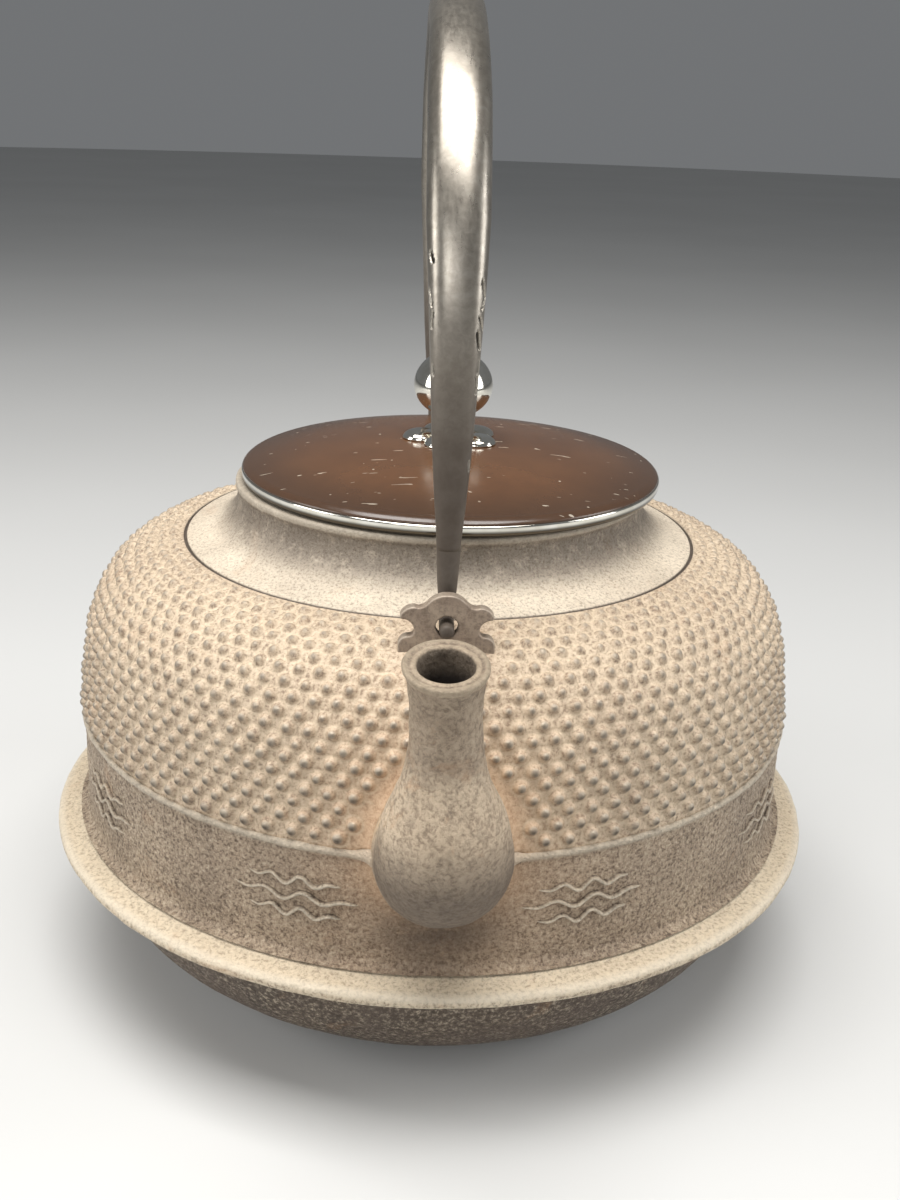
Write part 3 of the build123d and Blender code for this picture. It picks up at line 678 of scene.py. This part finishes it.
def add_neck(material):
    """Hollow-sided neck from the incised line up to the beaded lip and into the mouth."""
    groove = [(60.8, 103.6), (60.65, 103.3), (60.45, 103.0), (60.2, 103.0), (60.05, 103.4), (59.9, 103.75)]
    profile = outline(
        bezier((59.6, 103.9), (53.5, 105.0), (48.2, 108.6), (47.95, 113.8), 60),
        [(47.95, 113.8), (47.95, 114.3), (48.0, 114.8), (48.25, 115.15), (48.42, 115.6), (48.45, 116.1)],
        [(48.35, 116.55), (48.0, 116.85), (47.0, 116.9), (46.0, 116.9), (45.6, 116.7), (45.5, 116.0)],
        [(45.5, 112.0)],
    )
    profile = np.vstack([groove, resample(profile, 96)])
    angles = full_turn(900)
    points = spin(profile, angles)
    away = smooth_step((60.0 - np.hypot(points[..., 0], points[..., 1])) / 2.0)
    total = away * (0.12 * rough(points, 5.0, SEED + 41) + 0.08 * rough(points, 1.4, SEED + 42, 2))
    top = smooth_step((points[..., 2] - 115.2) / 0.5)
    total = total * (1 - 0.6 * top)
    points = points + spin_normals(profile, angles) * total[..., None]
    points[..., 2] = np.minimum(points[..., 2], 116.9)
    line = np.zeros(points.shape[:2])
    line[1:5] = 0.9
    radius = np.hypot(points[..., 0], points[..., 1])
    # Painted shade on the neck under the lid's overhang.
    under_lid = 0.72 * smooth_step((55.0 - radius) / 7.0) * (1 - 0.4 * top)
    marks = casting_marks(top, rubbed=0.9 * top, line=line, shade=under_lid)
    piece = grid_object("neck_ring", points, True, marks, material)
    place(piece, "kettle", "kettle_iron", "neck")


def add_inside(material):
    """Inner surface of the kettle, seen when the lid is off."""
    profile = outline(
        bezier((45.5, 112.0), (45.7, 106.0), (51.0, 101.6), (57.6, 100.2)),
        bezier((57.6, 100.2), (81.9, 95.4), (79.2, 80.0), (81.9, 63.0)),
        bezier((81.9, 63.0), (81.9, 50.0), (81.9, 40.0), (81.9, 36.0)),
        bezier((81.9, 36.0), (81.9, 19.0), (70.0, 7.5), (52.0, 3.6)),
        [(52.0, 3.6), (30.0, 3.6), (0.05, 3.6)],
    )
    piece = lathe("kettle_inside", resample(profile, 140), 360, material, 0.15, 6.0)
    place(piece, "kettle", "kettle_iron", "bowl", "wall", "shoulder", "neck")


# ------------------------------------------------------------------ low relief on the band
def smooth_line(points, count):
    """Even points on a smooth curve through given points."""
    p = np.array(points, float)
    ends = np.vstack([2 * p[0] - p[1], p, 2 * p[-1] - p[-2]])
    out = []
    for a, b, c, d in zip(ends, ends[1:], ends[2:], ends[3:]):
        for t in np.linspace(0, 1, 12, endpoint=False):
            out.append(0.5 * (2 * b + (c - a) * t + (2 * a - 5 * b + 4 * c - d) * t * t
                              + (3 * b - 3 * c + d - a) * t**3))
    return resample(np.vstack([out, p[-1:]]), count)


def relief_object(name, lines, material):
    """Raised lines on the wall. A line is (half width, points); a point is (degrees round, height)."""
    vertices, faces = [], []
    sides = 9
    for half_width, line in lines:
        path = smooth_line([(a / 57.296 * WALL_R, z) for a, z in line], max(14, 10 * len(line)))
        direction = np.gradient(path, axis=0)
        direction /= np.linalg.norm(direction, axis=1, keepdims=True)
        across = np.stack([-direction[:, 1], direction[:, 0]], axis=1)
        t = np.linspace(0, 1, len(path))
        width = half_width * np.sqrt(np.clip(1 - (2 * t - 1)**6, 0.02, 1))
        width = width * (0.8 + 0.35 * t)
        start = len(vertices)
        for centre, side, w in zip(path, across, width):
            for k in range(sides):
                angle = math.pi * k / (sides - 1)
                flat = centre + side * w * math.cos(angle)
                r = WALL_R - 0.15 + 2.0 * w * math.sin(angle)
                turn = flat[0] / WALL_R
                vertices.append((r * math.sin(turn) * MM, -r * math.cos(turn) * MM, flat[1] * MM))
        for i in range(len(path) - 1):
            for k in range(sides - 1):
                a = start + i * sides + k
                faces.append((a, a + 1, a + sides + 1, a + sides))
    mesh = bpy.data.meshes.new(name)
    mesh.from_pydata(vertices, [], faces)
    mesh.shade_smooth()
    mesh.materials.append(material)
    rise = np.tile(np.sin(np.linspace(0, math.pi, sides)), len(vertices) // sides)
    # Ridge tops are lighter as wear and painted highlight; a painted shadow darkens each ridge's foot.
    marks = casting_marks(rise, hollow=0.3 * rise, rubbed=rise**2, shade=0.95 * (1 - rise)**2)
    for key, values in marks.items():
        layer = mesh.attributes.new(key, "FLOAT", "POINT")
        layer.data.foreach_set("value", values.astype(np.float32))
    thing = bpy.data.objects.new(name, mesh)
    bpy.context.scene.collection.objects.link(thing)
    return place(thing, "kettle", "kettle_iron", "wall")


def ripple(middle_a, middle_z, span, waves):
    """Wavy line of a span in degrees round the wall, flattening out towards its ends."""
    steps = np.linspace(-0.5, 0.5, 6 * waves + 1)
    swing = RIPPLE_SWING * np.cos(math.pi * steps) * np.sin(2 * math.pi * waves * steps)
    return list(zip(middle_a + span * steps, middle_z + swing))


def add_relief(material):
    """Plain ripples by formula: stacks of three wavy lines, evenly spaced round the band."""
    middle_z = (BAND_FOOT + BAND_TOP) / 2
    lines = []
    for group in range(RIPPLE_GROUPS):
        middle_a = 360.0 / RIPPLE_GROUPS * (group + 0.5)
        for level in (-1, 0, 1):
            span = RIPPLE_SPAN * (1.0 - 0.25 * abs(level))
            lines.append((0.5, ripple(middle_a, middle_z + RIPPLE_STEP * level, span, 3)))
    relief_object("relief_ripples", lines, material)


# ------------------------------------------------------------------ spout
# Rows from the wall to the mouth: (distance out, height, tilt from level, half width, half depth)
SPOUT_ROWS = np.array([
    (80.0, 65.0, 0, 13.6, 15.2),
    (86.0, 65.4, 6, 13.7, 15.0),
    (92.2, 67.6, 26, 13.4, 12.8),
    (97.4, 73.2, 52, 12.7, 12.0),
    (100.2, 81.0, 74, 11.2, 10.6),
    (101.2, 88.5, 82, 8.3, 8.2),
    (101.7, 94.5, 84, 6.9, 6.9),
    (102.3, 100.5, 83, 6.45, 6.45),
    (102.9, 105.6, 81, 6.5, 6.5),
    (103.5, 109.4, 78, 6.8, 6.8),
])
SPOUT_LEAN_FOOT, SPOUT_LEAN = 72.0, 0.029


def spout_ring(out, height, tilt, half_width, half_depth, turns):
    """Ellipse of points across the spout's centreline."""
    a = math.radians(tilt)
    flow = np.array((0.0, -math.cos(a), math.sin(a)))
    depth = np.cross(flow, (1.0, 0.0, 0.0))
    centre = np.array((-SPOUT_LEAN * max(height - SPOUT_LEAN_FOOT, 0.0), -out, height))
    return (centre + np.outer(np.cos(turns) * half_width, (1.0, 0.0, 0.0))
            + np.outer(np.sin(turns) * half_depth, depth))


def add_spout(material):
    """Spout with a pear-shaped foot, a waist and a rolled lip, open down its bore."""
    rows = smooth_line(SPOUT_ROWS, 130)
    turns = np.linspace(0, 2 * math.pi, 128, endpoint=False)
    rings = [spout_ring(*row, turns) for row in rows]
    tilt = 77.0
    mouth = math.radians(tilt)
    lip_rows = (
        (0.7, 6.95), (1.4, 7.15), (2.0, 7.42), (2.4, 7.62), (2.8, 7.66), (3.12, 7.5), (3.26, 7.2),
        (3.2, 6.85),
        (3.02, 6.5), (2.96, 6.2), (3.04, 5.9), (3.12, 5.6), (3.0, 5.25), (2.6, 5.02), (1.6, 4.9), (0.0, 4.8),
        (-3.0, 4.6), (-7.0, 4.4),
    )
    for ahead, radius in lip_rows:
        out = SPOUT_ROWS[-1, 0] + ahead * math.cos(mouth)
        height = SPOUT_ROWS[-1, 1] + ahead * math.sin(mouth)
        rings.append(spout_ring(out, height, tilt, radius, radius, turns))
    for row in rows[::-6][2:]:
        if row[1] < 101.0:
            inner = np.maximum(row[3:] - 2.5, 4.4)
            rings.append(spout_ring(row[0], row[1], row[2], inner[0], inner[1], turns))
    points = np.array(rings)
    outer = len(rows)
    skin = 0.20 * rough(points, 3.4, SEED + 51) + 0.08 * rough(points, 1.2, SEED + 52, 2)
    middle = points.mean(axis=1, keepdims=True)
    away = points - middle
    away /= np.linalg.norm(away, axis=2, keepdims=True) + 1e-9
    amount = np.ones(len(points))
    amount[outer:] = 0.4
    amount[outer + 15:] = -0.6
    points = points + away * (skin * amount[:, None])[..., None]
    lip = np.zeros(points.shape[:2])
    lip[outer + 2:outer + 8] = 1.0
    lip[outer + 10:outer + 13] = 0.7
    inside = np.zeros(points.shape[:2])
    inside[outer + 8:outer + 10] = 0.45
    inside[outer + 13:outer + 16] = 0.7
    inside[outer + 16:] = 1.0
    # Darker low on the spout's front, and from its waist up to the mouth.
    low = smooth_step((84.0 - points[..., 2]) / 18.0) * smooth_step((-points[..., 1] - 89.0) / 8.0)
    high = 0.5 * smooth_step((points[..., 2] - 88.0) / 7.0) * (np.arange(len(points)) < outer + 2)[:, None]
    low = np.maximum(low, high)
    join = np.exp(-np.abs(np.hypot(points[..., 0], points[..., 1]) - 87.6) / 1.2)
    marks = {"rubbed": lip, "inside": inside, "soot": low, "join": join * (inside < 0.5)}
    piece = grid_object("spout_casting", points, True, marks, material)
    place(piece, "kettle", "spout_iron", "spout")


def spout_material():
    """Mottled casting of the spout: darker low on its front and towards its top, pale worn lip and a dark
    bore.
    """
    n = Nodes("spout_mottled_iron")
    clouds = n.noise(16.0, 3.0, 0.6)
    colour = n.ramp(clouds, (0.32, srgb(176, 156, 132)), (0.66, srgb(206, 186, 160)))
    fine = n.noise(1.1, 5.0, 0.75, 0.3)
    colour = n.mix(n.ramp(fine, (0.36, 0.7), (0.54, 0.0)), colour, srgb(112, 94, 77))
    colour = n.mix(n.ramp(fine, (0.54, 0.0), (0.68, 0.3)), colour, srgb(212, 194, 168))
    streaks = n.noise(3.0, 5.0, 0.72, 0.8, (1.0, 1.0, 0.75))
    colour = n.mix(n.ramp(streaks, (0.50, 0.0), (0.66, 0.45)), colour, srgb(100, 86, 72))
    rust = n.ramp(n.noise(11.0, 4.0, 0.7, 0.8), (0.56, 0.0), (0.70, 0.4))
    colour = n.mix(rust, colour, srgb(186, 140, 98))
    soot = n.ramp(n.attribute("soot"), (0.1, 0.0), (1.0, 0.8))
    colour = n.mix(soot, colour, srgb(72, 59, 48))
    join = n.ramp(n.attribute("join"), (0.2, 0.0), (1.0, 0.6))
    colour = n.mix(join, colour, srgb(214, 186, 148))
    worn = n.ramp(n.attribute("rubbed"), (0.1, 0.0), (0.9, 0.7))
    colour = n.mix(worn, colour, srgb(158, 144, 124))
    colour = n.mix(n.attribute("inside"), colour, srgb(46, 38, 32))
    roughness = n.mix(worn, n.ramp(fine, (0.3, 0.78), (0.7, 0.5)), (0.36, 0.36, 0.36))
    metallic = n.math("MULTIPLY", worn, 0.5)
    normal = n.bump(fine, 0.6)
    normal = n.bump(n.noise(0.6, 2.0), 0.05, 1.0, normal)
    return n.finish(Base_Color=colour, Roughness=roughness, Normal=normal, Metallic=metallic)


# ------------------------------------------------------------------ lugs
def arc_points(start, through, end, count=8):
    """Points on the circle through three points, without the last one."""
    (ax, ay), (bx, by), (cx, cy) = start, through, end
    d = 2 * (ax * (by - cy) + bx * (cy - ay) + cx * (ay - by))
    sa, sb, sc = ax * ax + ay * ay, bx * bx + by * by, cx * cx + cy * cy
    ux = (sa * (by - cy) + sb * (cy - ay) + sc * (ay - by)) / d
    uy = (sa * (cx - bx) + sb * (ax - cx) + sc * (bx - ax)) / d
    radius = math.hypot(ax - ux, ay - uy)
    angles = [math.atan2(y - uy, x - ux) for x, y in (start, through, end)]
    turn = [(a - angles[0]) % (2 * math.pi) for a in angles]
    sweep = turn[2] if turn[1] < turn[2] else turn[2] - 2 * math.pi
    return [(ux + radius * math.cos(angles[0] + sweep * i / count),
             uy + radius * math.sin(angles[0] + sweep * i / count)) for i in range(count)]


def lug_outline():
    """Cloud-shaped outline of a lug in (x, z)."""
    right = [(9.3, 97.4), (9.5, 98.2)]
    for arc in (
        ((9.5, 101.4), (9.0, 103.0), (7.4, 103.65)),
        ((7.4, 103.65), (6.6, 104.1), (6.4, 105.0)),
        ((6.4, 105.0), (7.1, 106.5), (8.5, 107.15)),
        ((8.5, 107.15), (9.1, 107.4), (9.15, 107.9)),
        ((9.15, 107.9), (8.1, 109.2), (6.4, 109.7)),
    ):
        right += arc_points(*arc)
    right += [(6.4, 109.7), (5.6, 109.5), (4.7, 109.75)]
    right += arc_points((3.95, 110.3), (2.2, 111.75), (0.0, 112.2))
    return right + [(0.0, 112.2)] + [(-x, z) for x, z in reversed(right)]


def add_lug(name, material):
    """Pierced plate with rounded edges, where the CAD has it."""
    low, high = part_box(name)
    middle_y = (low[1] + high[1]) / 2
    half = (high[1] - low[1]) / 2
    curve = bpy.data.curves.new(name + "_outline", "CURVE")
    curve.dimensions = "2D"
    curve.fill_mode = "BOTH"
    round_edge = 0.32 * MM
    curve.bevel_depth = round_edge
    curve.bevel_resolution = 3
    curve.offset = -round_edge
    curve.extrude = half - round_edge
    hole_z, hole_r = 105.7, 2.15
    hole = [(hole_r * 1.03 * math.sin(a), hole_z + hole_r * math.cos(a) * (1.04 if math.cos(a) > 0 else 1.0))
            for a in np.linspace(0, 2 * math.pi, 36, endpoint=False)]
    for loop in (lug_outline(), hole):
        spline = curve.splines.new("POLY")
        spline.points.add(len(loop) - 1)
        for point, (x, z) in zip(spline.points, loop):
            point.co = (x * MM, z * MM, 0.0, 1.0)
        spline.use_cyclic_u = True
    flat = bpy.data.objects.new(name + "_flat", curve)
    bpy.context.scene.collection.objects.link(flat)
    mesh = bpy.data.meshes.new_from_object(flat.evaluated_get(bpy.context.evaluated_depsgraph_get()))
    bpy.data.objects.remove(flat)
    mesh.transform(Matrix.Translation((0, middle_y, 0)) @ Matrix.Rotation(math.radians(90), 4, "X"))
    mesh.name = name + "_plate"
    mesh.materials.clear()
    mesh.materials.append(material)
    mesh.shade_smooth()
    mesh.set_sharp_from_angle(angle=math.radians(40))
    plate = bpy.data.objects.new(name + "_plate", mesh)
    bpy.context.scene.collection.objects.link(plate)
    place(plate, "kettle", "lug_iron", name)


# ------------------------------------------------------------------ lid
def lid_centre():
    """How far the loose lid sits to one side, in millimetres."""
    low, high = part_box("lid_rim")
    return (low[0] + high[0]) / 2 / MM


def add_lid(bronze, silver):
    """Domed bronze disc with a rolled edge, its silver rim, the collar and the blossom seat."""
    crown, sphere = 126.5, 205.0

    def dome(radius):
        return crown - sphere + math.sqrt(sphere**2 - radius**2)
    roll = arc_points((49.1, 119.75), (48.15, 120.66), (46.6, dome(46.6)), 9)
    top = [(r, dome(r)) for r in np.linspace(46.6, 12.7, 50)] + [(12.5, 126.1), (1.6, 126.1)]
    under = [(1.6, 123.95), (6.0, 123.9)] + [
        (r, dome(r) - 2.4 - 1.8 * smooth_step((r - 30) / 12.5)) for r in np.linspace(8.0, 40.6, 24)
    ] + [(41.0, 117.9), (46.7, 117.9), (46.9, 118.6), (46.95, 119.6), (48.8, 119.7)]
    profile = resample(np.array(under + roll + top, float), 230)
    edge = np.repeat((0.75 * smooth_step((profile[:, 0] - 30.0) / 18.0))[:, None], 320, axis=1)
    disc = lathe("lid_dome", profile, 320, bronze, attributes={"edge": edge}, centre_x=lid_centre())
    place(disc, "lid", "lid_bronze", "lid_disc")
    rim = [(46.95, 117.05), (47.6, 117.05)] + [
        (47.9 + 1.3 * math.sin(a), 118.35 - 1.3 * math.cos(a)) for a in np.linspace(0.1, math.pi / 2, 12)
    ] + [
        (48.78 + 0.42 * math.sin(a), 119.28 - 0.42 * math.cos(a))
        for a in np.linspace(math.pi / 2, math.pi, 8)
    ] + [(47.2, 119.7)]
    profile = resample(np.array(rim), 60)
    # Painted dark reflection and shade on the rim's lower half.
    tarnish = np.repeat(smooth_step((118.9 - profile[:, 1]) / 0.7)[:, None], 360, axis=1)
    band = lathe("lid_silver_rim", profile, 360, silver, 0.03, 9.0, {"tarnish": tarnish}, lid_centre())
    place(band, "lid", "silver", "lid_rim")
    ring = [(43.0, 118.0), (43.0, 112.3), (42.6, 111.9), (41.5, 111.9), (41.1, 112.3), (41.1, 118.0)]
    ring = resample(np.array(ring)[::-1], 36)
    collar = lathe("lid_collar_ring", ring, 240, bronze, centre_x=lid_centre())
    place(collar, "lid", "lid_bronze", "lid_collar")
    add_seat(silver)


def add_seat(silver):
    """Five-petalled silver seat under the knob: each petal a low dome with a lifted edge."""
    petals, distance, radius = 5, 7.15, 4.3
    turns = np.linspace(-math.pi, math.pi, 300, endpoint=False)
    nearest = np.round((turns - math.pi) / (2 * math.pi / petals)) * (2 * math.pi / petals) + math.pi
    off = turns - nearest
    inside = radius**2 - (distance * np.sin(off))**2
    reach = distance * np.cos(off) + np.sqrt(np.clip(inside, 0.02, None))
    fractions = np.linspace(0.24, 1.0, 60)
    rows = []
    heights = []
    for f in fractions:
        r = reach * f
        x, y = r * np.cos(turns), r * np.sin(turns)
        cx, cy = distance * np.cos(nearest), distance * np.sin(nearest)
        d = np.hypot(x - cx, y - cy) / radius
        petal = 1.75 * np.sqrt(np.clip(1 - d**2, 0, 1))**1.2
        centre = 1.5 * math.exp(-(f * 12.2 / 4.2)**4)
        z = 126.65 + np.maximum(petal, centre)
        heights.append(z)
        rows.append(np.stack([x, y, z], axis=-1))
    edge = rows[-1]
    for spread, height in ((1.012, 126.5), (1.012, 126.3), (0.99, 126.12), (0.7, 126.12)):
        ring = edge.copy()
        ring[..., :2] *= spread
        ring[..., 2] = height
        rows.append(ring)
    points = np.array(rows)[::-1] + np.array((lid_centre(), 0.0, 0.0))
    seat = grid_object("blossom_seat", points, True, None, silver)
    place(seat, "lid", "silver", "knob_seat")


def add_knob(silver, brass):
    """Slightly flattened silver ball on a waisted neck, and its pin and washer under the lid."""
    angles = np.linspace(-68, 90, 70)
    ball = [
        (9.2 * math.cos(math.radians(a)), 138.9 + (8.1 if a > 0 else 7.5) * math.sin(math.radians(a)))
        for a in angles
    ]
    ball[-1] = (0.02, 147.0)
    foot = [
        (1.7, 128.6), (3.3, 128.6), (3.65, 128.8), (3.6, 129.1), (3.05, 129.7), (2.8, 130.4), (2.9, 131.2)
    ]
    profile = resample(np.array(foot + ball), 110)
    knob = lathe("knob_silver_ball", profile, 160, silver, centre_x=lid_centre())
    place(knob, "knob", "silver", "knob_ball")
    for name in ("knob_pin", "knob_washer"):
        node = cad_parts[name]
        node.data.materials.clear()
        node.data.materials.append(brass)


# ------------------------------------------------------------------ bail
# Rows from a leg's foot towards the crown: (distance along the bail, half width, half depth)
BAIL_ROWS = np.array([
    (0.0, 2.35, 2.4),
    (4.0, 2.6, 2.65),
    (9.0, 3.05, 3.0),
    (22.0, 3.95, 3.6),
    (40.0, 4.85, 4.2),
    (62.0, 5.95, 4.6),
    (88.0, 6.1, 4.9),
    (112.0, 5.8, 5.0),
    (136.0, 5.75, 5.0),
])
BAIL_SPAN = 64.4
BAIL_JOIN = 120.0
BAIL_CENTRE = 154.7
LEG = BAIL_CENTRE - BAIL_JOIN
BAIL_LENGTH = 2 * LEG + math.pi * BAIL_SPAN

# Openings eaten through the flanks: (distance, angle round the section, length, width, lean)
BAIL_HOLES = [
    (32.3, 30.0, 3.6, 1.0, 0.12), (35.8, 26.0, 3.0, 1.1, -0.10), (40.4, 34.0, 3.4, 1.5, 0.35),
    (43.4, 27.0, 2.6, 1.2, 0.9), (46.9, 24.0, 2.8, 1.0, -0.5), (49.6, 30.0, 3.2, 1.1, 0.45),
    (17.0, 30.0, 2.4, 1.0, 0.2),
    (35.2, 152.0, 2.6, 1.0, 0.1), (43.8, 150.0, 3.2, 1.0, -0.2), (47.6, 158.0, 3.4, 1.0, 0.3),
    (54.6, 150.0, 2.4, 1.2, 0.4),
]


def bail_place(distance):
    """Centre of the bail and its outward direction at distances along it, in (y, z)."""
    d = np.asarray(distance, float)
    angle = np.clip((d - LEG) / BAIL_SPAN, 0.0, math.pi)
    y = -BAIL_SPAN * np.cos(angle)
    z = BAIL_CENTRE + BAIL_SPAN * np.sin(angle)
    z = np.where(d < LEG, BAIL_JOIN + d, z)
    z = np.where(d > BAIL_LENGTH - LEG, BAIL_JOIN + BAIL_LENGTH - d, z)
    return y, z, -np.cos(angle), np.sin(angle)


def bail_section(half_width, half_depth, turns):
    """Rounded section, flatter on its outer and inner faces; the angle 90 degrees faces outwards."""
    power = 2.0 / 2.5
    c, s = np.cos(turns), np.sin(turns)
    return (half_width * np.sign(c) * np.abs(c)**power, half_depth * np.sign(s) * np.abs(s)**power)


def hole_distance(distance, turns):
    """Signed distance in millimetres to the nearest opening; negative inside one."""
    d = np.minimum(distance, BAIL_LENGTH - distance)
    far = distance > BAIL_LENGTH / 2
    degrees = np.degrees(turns) % 360.0
    degrees = np.where(far, (180.0 - degrees) % 360.0, degrees)
    best = np.full(np.shape(d), 9.0)
    for centre, angle, length, width, lean in BAIL_HOLES:
        v = d - centre
        u = (degrees - angle) * 0.075 - lean * v
        reach = length / 2 - width / 2
        gap = np.hypot(np.maximum(np.abs(v) - reach, 0.0), u) - width / 2
        gap = gap + 0.22 * noise(np.stack([v * 1.0, u * 1.0, v * 0 + centre], axis=-1), 1.1, SEED)
        best = np.minimum(best, gap)
    return best


def bail_rows_along():
    """Distances along the bail: close together where it is eaten through, wide apart elsewhere."""
    crown = BAIL_LENGTH / 2
    near = np.concatenate([np.arange(0, 12, 0.8), np.arange(12, 64, 0.34), np.arange(64, crown, 1.4)])
    return np.concatenate([near, BAIL_LENGTH - near[::-1]])


def add_bail(material):
    """Hollow forged bail with openings eaten through its flanks, and its solid hooked feet."""
    along = bail_rows_along()
    turns = np.linspace(0, 2 * math.pi, 104, endpoint=False)
    d = np.broadcast_to(along[:, None], (len(along), len(turns))).copy()
    u = np.broadcast_to(turns[None, :], d.shape).copy()
    gap = hole_distance(d, u)
    near = np.abs(gap) < 0.3
    step = 0.05
    slope_d = (hole_distance(d + step, u) - hole_distance(d - step, u)) / (2 * step)
    slope_u = (hole_distance(d, u + step / 4.3) - hole_distance(d, u - step / 4.3)) / (2 * step)
    size = slope_d**2 + slope_u**2 + 1e-6
    d = np.where(near, d - np.clip(gap * slope_d / size, -0.14, 0.14), d)
    u = np.where(near, u - np.clip(gap * slope_u / size, -0.1, 0.1) / 4.3, u)
    from_end = np.minimum(d, BAIL_LENGTH - d)
    half_width = np.interp(from_end, BAIL_ROWS[:, 0], BAIL_ROWS[:, 1])
    half_depth = np.interp(from_end, BAIL_ROWS[:, 0], BAIL_ROWS[:, 2])
    y, z, out_y, out_z = bail_place(d)
    side, outward = bail_section(half_width, half_depth, u)
    points = np.stack([side, y + out_y * outward, z + out_z * outward], axis=-1)
    inner_part = smooth_step(from_end / 6.0)
    points = points + (0.05 * inner_part * rough(points, 9.0, SEED + 61, 2))[..., None]
    browned = 0.9 * smooth_step((58.0 - from_end) / 46.0)[::-1]
    hollow_rim = np.exp(-np.maximum(gap, 0) / 0.35)
    corner = np.abs(np.cos(u))**3
    points, gap = points[::-1], gap[::-1]
    edge = np.maximum(hollow_rim, 0.55 * corner)[::-1]
    tube = grid_object("bail_hollow", points, True, {"edge": edge, "browned": browned}, material)
    middle = 0.25 * (gap[:-1] + gap[1:] + np.roll(gap, -1, axis=1)[:-1] + np.roll(gap, -1, axis=1)[1:])
    doomed = np.flatnonzero((middle < 0.0).ravel())
    remove_faces(tube, doomed)
    shell = tube.modifiers.new("shell", "SOLIDIFY")
    shell.thickness = 0.9 * MM
    shell.offset = -1.0
    apply_modifiers(tube)
    place(tube, "bail", "bail_iron", "bail_tube")
    for side_name, side in (("front", -1.0), ("rear", 1.0)):
        add_hook("bail_hook_" + side_name, side, material)


def remove_faces(thing, doomed):
    """Deletes faces by number, and the points left loose."""
    import bmesh
    work = bmesh.new()
    work.from_mesh(thing.data)
    work.faces.ensure_lookup_table()
    bmesh.ops.delete(work, geom=[work.faces[int(i)] for i in doomed], context="FACES")
    work.to_mesh(thing.data)
    work.free()


def apply_modifiers(thing):
    """Bakes a piece's modifiers into its mesh."""
    graph = bpy.context.evaluated_depsgraph_get()
    mesh = bpy.data.meshes.new_from_object(thing.evaluated_get(graph))
    thing.modifiers.clear()
    thing.data = mesh


def add_hook(name, side, material):
    """Foot of the bail: tapered shank, tight bend and a round-ended peg through the lug."""
    hinge_z, peg_r, bend = 105.13, 1.5, 2.2
    rings = []
    turns = np.linspace(0, 2 * math.pi, 56, endpoint=False)
    for z, width, depth in ((BAIL_JOIN + 3.0, 1.9, 1.9), (BAIL_JOIN + 1.0, 2.2, 2.25)):
        across, deep = bail_section(width, depth, turns)
        rings.append(np.stack([across, side * (BAIL_SPAN + deep), z + 0 * turns], axis=-1))
    shank = np.linspace(BAIL_JOIN + 0.02, hinge_z + bend, 34)
    for z in shank:
        t = (BAIL_JOIN - z) / (BAIL_JOIN - hinge_z - bend)
        across, deep = bail_section(1.0, 1.0, turns)
        ease = smooth_step(np.array(t * 1.1))
        across = across * (1 - ease) + np.cos(turns) * ease
        deep = deep * (1 - ease) + np.sin(turns) * ease
        width = 2.35 + (peg_r - 2.35) * t + 0.12 * math.sin(math.pi * t)
        depth = 2.4 + (peg_r - 2.4) * t + 0.15 * math.sin(math.pi * t)
        rings.append(np.stack([across * width, side * (BAIL_SPAN + deep * depth), z + 0 * turns], axis=-1))
    for a in np.linspace(0.1, math.pi / 2, 10):
        centre = np.array((BAIL_SPAN + bend - bend * math.cos(a), hinge_z + bend - bend * math.sin(a)))
        out = np.array((math.cos(a), math.sin(a)))
        y = side * (centre[0] + out[0] * np.sin(turns) * peg_r)
        z = centre[1] + out[1] * np.sin(turns) * peg_r
        rings.append(np.stack([np.cos(turns) * peg_r, y, z], axis=-1))
    for reach, radius in ((68.0, 1.5), (70.6, 1.5), (71.15, 1.42), (71.5, 1.22), (71.72, 0.9), (71.8, 0.02)):
        rings.append(np.stack([
            np.cos(turns) * radius, side * reach + 0 * turns, hinge_z + np.sin(turns) * radius
        ], axis=-1))
    points = np.array(rings)
    if side > 0:
        points = points[::-1]
    marks = {"edge": np.full(points.shape[:2], 0.15), "browned": np.full(points.shape[:2], 0.9)}
    hook = grid_object(name + "_forged", points, True, marks, material)
    place(hook, "bail", "bail_iron", name)


# ------------------------------------------------------------------ build
def build():
    """Makes the scene: camera and studio, then each part of the kettle."""
    add_camera()
    add_studio()
    studded = casting_material("shoulder_patina", srgb(195, 177, 153), srgb(174, 155, 133),
                               srgb(100, 83, 69), 0.85, 0.24, 0.75)
    band = casting_material("band_patina", srgb(178, 159, 136), srgb(160, 142, 121), srgb(76, 62, 51),
                            0.8, 0.8, 0.9, 0.25)
    flange = casting_material("flange_patina", srgb(208, 194, 170), srgb(190, 174, 150), srgb(102, 86, 71),
                              0.9, 0.4, 0.7)
    # The bowl's dark tones are painted shade under the flange, laid over its patina.
    bowl = casting_material("bowl_patina_painted_shade", srgb(92, 79, 65), srgb(76, 65, 54), srgb(46, 38, 31),
                            1.0, 0.3, 0.7, 0.6)
    neck = casting_material("neck_patina", srgb(218, 205, 185), srgb(200, 186, 166), srgb(118, 103, 88),
                            0.6, 0.25, 0.6, 0.2)
    bronze, silver, iron = bronze_material(), silver_material(), bail_material()
    lug_iron, brass = lug_material(), brass_material()
    add_shoulder(studded)
    add_band(band)
    add_flange(flange)
    add_bowl(bowl)
    add_neck(neck)
    add_inside(inside_material())
    add_relief(band)
    add_spout(spout_material())
    add_lug("lug_front", lug_iron)
    add_lug("lug_rear", lug_iron)
    add_lid(bronze, silver)
    add_knob(silver, brass)
    add_bail(iron)


build()
bpy.context.scene.view_settings.view_transform = "Standard"
